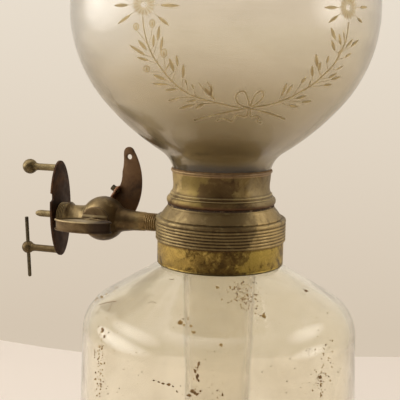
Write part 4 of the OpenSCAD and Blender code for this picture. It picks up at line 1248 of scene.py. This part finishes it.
def engraved(path, frost_width, line_width, frost_taper=EVEN, line_taper=EVEN):
    """A bright line along picture points with a wider frosted one under it."""
    stroke(frost, path, frost_width, FROST_LIFT, frost_taper)
    stroke(lines, path, line_width, LINE_LIFT, line_taper)


def engraved_leaf(base, tip, frost_width, line_width):
    leaf(frost, base, tip, frost_width, FROST_LIFT)
    leaf(lines, base, tip, line_width, LINE_LIFT)


for stem in (LEFT_STEM, RIGHT_STEM):
    engraved(stem, 2.2, 1.15, (0.6, 1.0), (0.6, 1.0))
for start, base, tip, width in LEAVES:
    stroke(lines, [start, base], 0.5, LINE_LIFT, (1, 0.8), 4)
    engraved_leaf(base, tip, width * 1.45, width * 0.85)
for start, (cx, cy), (half_x, half_y) in BUDS:
    foot = (cx, cy + half_y)
    bend = ((start[0] + cx) / 2 + 0.6, (start[1] + cy + half_y) / 2)
    leaf(frost, foot, (cx, cy - half_y), half_x * 2, FROST_LIFT)
    stroke(lines, oval(cx, cy, half_x, half_y, 0, 360), 0.8, LINE_LIFT, EVEN, 3)
    stroke(lines, [(cx, cy + half_y * 0.6), (cx, cy - half_y * 0.5)], half_x * 0.7, LINE_LIFT, (1, 0.4))
    stroke(lines, [start, bend, foot], 0.5, LINE_LIFT, EVEN)
for path in TULIP:
    stroke(lines, path, 1.6, LINE_LIFT, (1.1, 0.4))
leaf(frost, *TULIP_CUP, FROST_LIFT)
leaf(lines, *TULIP_HEART, LINE_LIFT)
for path in BOW + TAILS:
    engraved(path, 1.7, 0.95)
for path in CROSSED:
    engraved(path, 2.0, 1.25, (1, 1.1), (0.9, 1.2))


def ray(k, centre, half_x, half_y, count=64):
    """One of a flower's fine rays: every second is raised and every fourth is a bright line."""
    cx, cy = centre
    a = 2 * math.pi * k / count
    far = 0.86 + 0.14 * noise.noise(Vector((k * 1.7, cx, 0))) + (0.1 if k % 2 else 0)
    close = (0.4 if k % 4 == 1 else 0.2) + 0.1 * abs(noise.noise(Vector((k * 2.3, cx, 5))))
    start, end = [(cx + half_x * f * math.cos(a), cy + half_y * f * math.sin(a)) for f in (close, far)]
    leaf(lines if k % 4 == 1 else frost, start, end, 1.0, LINE_LIFT if k % 2 else FROST_LIFT, 6)


for centre, (half_x, half_y), sepals in FLOWERS:
    for k in range(64):
        ray(k, centre, half_x, half_y)
    for angle, start, length, width in sepals:
        reach = (start - 5, start, start + length)
        root, base, tip = [tuple(Vector(centre) + unit(angle) * d) for d in reach]
        stroke(lines, [root, base], 0.5, LINE_LIFT, EVEN, 3)
        engraved_leaf(base, tip, width * 1.4, width * 0.85)

finish_piece(mesh_object("wreath_frost", frost, None), engraved_frost, "vessel", "globe_glass")
finish_piece(mesh_object("wreath_lines", lines, None), engraved_line, "vessel", "globe_glass")


# --- Stains and specks on the jar -------------------------------------------
def blot(bm, px, py, half, lift=0.08, long=1.0, lean=0.0, ring=11):
    """A ragged spot: its half width in picture points, its length over its width, and its lean in degrees."""
    turn = unit(lean)
    edge = []
    for k in range(ring):
        a = 2 * math.pi * k / ring
        ragged_at = Vector((px * 0.37 + 2 * math.cos(a), py * 0.41 + 2 * math.sin(a), half))
        far = 1.3 * half * (0.75 + 0.55 * noise.noise(ragged_at))
        u, v = far * long * math.cos(a), far * math.sin(a)
        edge.append((px + u * turn.x - v * turn.y, py + u * turn.y + v * turn.x))
    top = []
    for share, height in ((0.15, lift), (0.5, lift), (0.8, lift), (1.0, lift / 2)):
        row = [(px + (x - px) * share, py + (y - py) * share) for x, y in edge]
        top.append([bm.verts.new(on_vessel(x, y, jar_gap, height)) for x, y in row])
    low = [bm.verts.new(on_vessel(x, y, jar_gap, STUCK_LIFT)) for x, y in edge]
    crown, base = [bm.verts.new(on_vessel(px, py, jar_gap, height)) for height in (lift, STUCK_LIFT)]
    for k in range(ring):
        j = (k + 1) % ring
        bm.faces.new((crown, top[0][k], top[0][j]))
        for a, b in zip(top, top[1:]):
            bm.faces.new((a[k], b[k], b[j], a[j]))
        bm.faces.new((top[-1][k], low[k], low[j], top[-1][j]))
        bm.faces.new((low[k], base, low[j]))


# Picture points: ragged blots as (x, y, half width, length over width, lean), round specks and thin lines.
BLOTS = [
    (198.8, 363.8, 1.5, 1.5, 100), (197.6, 367.5, 0.9, 1.6, 110), (195, 371.3, 1.4, 1.7, 75),
    (197.5, 376.3, 1.9, 1.4, 100), (198.6, 380.5, 1.1, 1.5, 80), (192.5, 391.3, 2.0, 1.3, 20),
    (196.5, 393.8, 2.1, 1.4, 30), (189.5, 395.2, 1.5, 1.5, 0), (200.5, 391, 1.0, 1.2, 0),
    (222.5, 395, 1.2, 1.6, 90), (102.5, 330, 1.3, 1.8, 80), (104.4, 336.5, 1.0, 2.0, 90),
    (153.8, 380.5, 0.8, 1.4, 0), (158.8, 382, 0.9, 1.6, 10), (163, 383.5, 1.1, 1.8, 15),
    (168.8, 384.5, 1.2, 1.6, 0), (173, 386.3, 0.8, 1.5, 30), (177, 391.3, 0.7, 2.0, 60),
    (320, 377.4, 1.7, 1.2, 90), (306, 290.8, 1.1, 1.7, 20),
]
SPECKS = [
    (98.8, 326.8), (108.8, 332.5), (94.5, 357.5), (95.6, 352), (287, 381.3), (286.3, 392.5), (306.3, 350.8),
    (310, 349), (315, 350), (290, 358.8), (329.3, 347.5), (327.5, 313), (246.3, 310.8), (207.5, 351.8),
    (214.5, 351.8), (108, 393.8), (119.3, 388.3), (212.5, 370.5), (212, 384), (180.6, 386), (136, 352.5),
    (262, 372), (271, 366), (251, 389), (142, 372), (128, 361), (338, 372),
]
HAIRS = [
    ([(98.8, 305), (103, 303.6), (107.5, 302.5), (116.3, 301.3)], 0.8),
    ([(112, 302.6), (111.3, 305), (109.8, 309), (107.5, 311.3)], 0.5),
    ([(326, 376.6), (325, 374.2), (321.5, 373), (318.4, 375), (317.8, 379), (320, 381.6), (323, 381)], 0.5),
    ([(169, 278.8), (171.3, 279.5), (174, 279)], 0.8),
    ([(148, 303.8), (150, 302.2), (153, 302), (156, 303)], 0.5),
    ([(303, 289), (305.8, 290.8), (308.5, 291.5)], 0.8), ([(94.6, 349), (94.4, 352), (94.9, 356)], 0.6),
]
# Lines of rust spots: the top, the foot, the spread and the number of spots.
RUNS = [
    ((102.5, 330), (99.8, 398), 1.5, 60), ((99.5, 345), (96, 398), 1.2, 20),
    ((320.5, 379), (321, 399), 1.6, 24), ((197, 366), (196, 396), 2.2, 20), ((326, 330), (320, 396), 7, 50),
    ((122, 284), (96, 300), 2.0, 14),
]
STAINS = [
    (263.8, 316.3, 1.8), (193.8, 332.5, 1.6), (221.3, 345, 1.4), (180, 322.5, 2.2), (217.5, 287.5, 1.4),
    (191, 326, 1.2), (184, 325, 1.0),
]
# Where fine tan specks lie close together: centre, spread and number.
CLUSTERS = [
    ((246, 298), (16, 12), 90), ((238, 288), (10, 7), 40), ((262, 314), (6, 5), 8), ((182, 321), (6, 6), 8),
    ((215, 388), (12, 9), 12),
]
# Where fine dust lies, and how its upper limit drops outside the shoulder's middle.
DUST_X, DUST_Y, DUST_COUNT = (92, 350), (292, 400), 150
MIDDLE_X, MIDDLE_HALF, OUTER_TOP_Y = 222, 90, 318

dark, tan = bmesh.new(), bmesh.new()
scatter = random.Random(7)


def dark_or_tan(dark_share):
    return dark if scatter.random() < dark_share else tan


for x, y, half, long, lean in BLOTS:
    blot(dark, x, y, half, long=long, lean=lean)
for x, y in SPECKS:
    blot(dark, x, y, 0.55 + 0.3 * abs(noise.noise(Vector((x, y, 0)))), ring=7)
for points, width in HAIRS:
    stroke(dark, points, width, 0.06, (0.5, 0.8), 5, jar_gap)
for x, y, half in STAINS:
    blot(tan, x, y, half, long=1.3, lean=x)
for (x, y), (spread_x, spread_y), count in CLUSTERS:
    for _ in range(count):
        bm = dark_or_tan(0.35)
        at = scatter.gauss(x, spread_x * 0.5), scatter.gauss(y, spread_y * 0.5)
        blot(bm, *at, scatter.uniform(0.3, 0.9), 0.02, ring=7)
for (x0, y0), (x1, y1), spread, count in RUNS:
    for _ in range(count):
        t = scatter.random()
        at = x0 + (x1 - x0) * t + scatter.gauss(0, spread), y0 + (y1 - y0) * t + scatter.gauss(0, 0.5)
        blot(dark_or_tan(0.25), *at, scatter.uniform(0.3, 0.8), 0.02, scatter.uniform(0.8, 1.6), 90, 7)
for _ in range(DUST_COUNT):
    x, y, half = scatter.uniform(*DUST_X), scatter.uniform(*DUST_Y), scatter.uniform(0.25, 0.5)
    if abs(x - MIDDLE_X) > MIDDLE_HALF:
        y = max(y, OUTER_TOP_Y)
    blot(dark_or_tan(0.35), x, y, half, 0.02, ring=6)
finish_piece(mesh_object("jar_specks", dark, None), dark_mark, "vessel", "jar_glass")
finish_piece(mesh_object("jar_stains", tan, None), tan_mark, "vessel", "jar_glass")

# --- Stage ------------------------------------------------------------------
# The table's far edge, as picture points from left to right, and its near edge.
TABLE_EDGE = [
    (-260, 300), (-120, 319), (-40, 334), (0, 340), (40, 346.5), (80, 352), (150, 355), (280, 356),
    (400, 357), (700, 359),
]
TABLE_NEAR_Y = -1600


def on_floor(px, py):
    way = sight(px, py)
    return CAM_AT - way * (CAM_AT.z / way.z)


far_edge = [on_floor(x, y) for x, y in TABLE_EDGE]
corners = [(p.x * MM, p.y * MM, 0) for p in far_edge]
corners += [(p.x * MM, TABLE_NEAR_Y * MM, 0) for p in reversed(far_edge)]
last = len(corners) - 1
strips = [(i, last - i, last - 1 - i, i + 1) for i in range(len(far_edge) - 1)]
floor_mesh = bpy.data.meshes.new("floor")
floor_mesh.from_pydata(corners, [], strips)
floor = show(bpy.data.objects.new("floor", floor_mesh))
table = Shader("table", Roughness=0.75)
table.feed("Base Color", table.mix(table.noise(6, 3), srgb(240, 231, 223), srgb(236, 226, 217)))
floor_mesh.materials.append(table.mat)

world = bpy.data.worlds.new("backdrop")
bpy.context.scene.world = world
world.use_nodes = True
sky = Nodes(world.node_tree)
way = sky.add("SeparateXYZ", {0: sky.add("TexCoord").outputs["Generated"]}).outputs
height = sky.span(way["Z"], -0.30, 0.10, kind="LINEAR")
pale = sky.ramp(height, [(0, srgb(213, 198, 178)), (1, srgb(233, 222, 206))])
# The room in front of the object is dim; only gloss and diffuse light see it.
room = sky.span(way["Y"], -0.75, 0.25, 0.26, 1.0, kind="LINEAR")
rays = sky.add("LightPath").outputs
seen = sky.math("MAXIMUM", rays["Is Camera Ray"], rays["Is Transmission Ray"])
dim = sky.mix(rays["Is Glossy Ray"], 0.55, room, data="FLOAT")
strength = sky.mix(seen, dim, 1.0, data="FLOAT")
backdrop = sky.add("Background", {"Color": pale, "Strength": strength})
sky.add("OutputWorld", {"Surface": backdrop.outputs[0]})

WARM, WARMER = (1, 0.97, 0.93), (1, 0.96, 0.9)
AIM_Z = 240
OVAL_SHARES, OVAL_GAP = (1.25, 0.95, 0.6), 6


def soft_box(name, azimuth, height, distance, wide, tall, glow, colour=WARMER, gleam_only=False):
    """A window facing the vessel's axis, from ovals one on another so that its edges are soft.

    Azimuth 0 stands at -Y and 90 at +X. Glow is the brightness of its middle. A box that is gleam_only shows
    in reflections and lights nothing else.
    """
    a = math.radians(azimuth)
    for k, share in enumerate(OVAL_SHARES):
        w, h = wide * share * MM, tall * share * MM
        data = bpy.data.lights.new(f"{name}_{k}", "AREA")
        data.shape, data.size, data.size_y = "ELLIPSE", w, h
        data.energy, data.color = glow / 3 * math.pi * (math.pi / 4 * w * h), colour
        lamp = show(bpy.data.objects.new(data.name, data))
        lamp.visible_transmission = False
        lamp.visible_diffuse = not gleam_only
        out = distance - OVAL_GAP * k
        at = Vector((math.sin(a) * out, -math.cos(a) * out, height))
        lamp.location = at * MM
        lamp.rotation_euler = (Vector((0, 0, AIM_Z)) - at).to_track_quat("-Z", "Y").to_euler()


soft_box("left_window", -71, 900, 880, 960, 440, 4.4)
soft_box("left_low", -68, 370, 900, 900, 380, 6.0, gleam_only=True)
soft_box("right_window", 120, 960, 880, 760, 400, 3.8)
soft_box("right_low", 94, 330, 900, 460, 300, 4.6, gleam_only=True)
soft_box("ceiling", -50, 1500, 350, 1500, 1200, 1.9, WARM)

bpy.context.scene.view_settings.view_transform = "Standard"
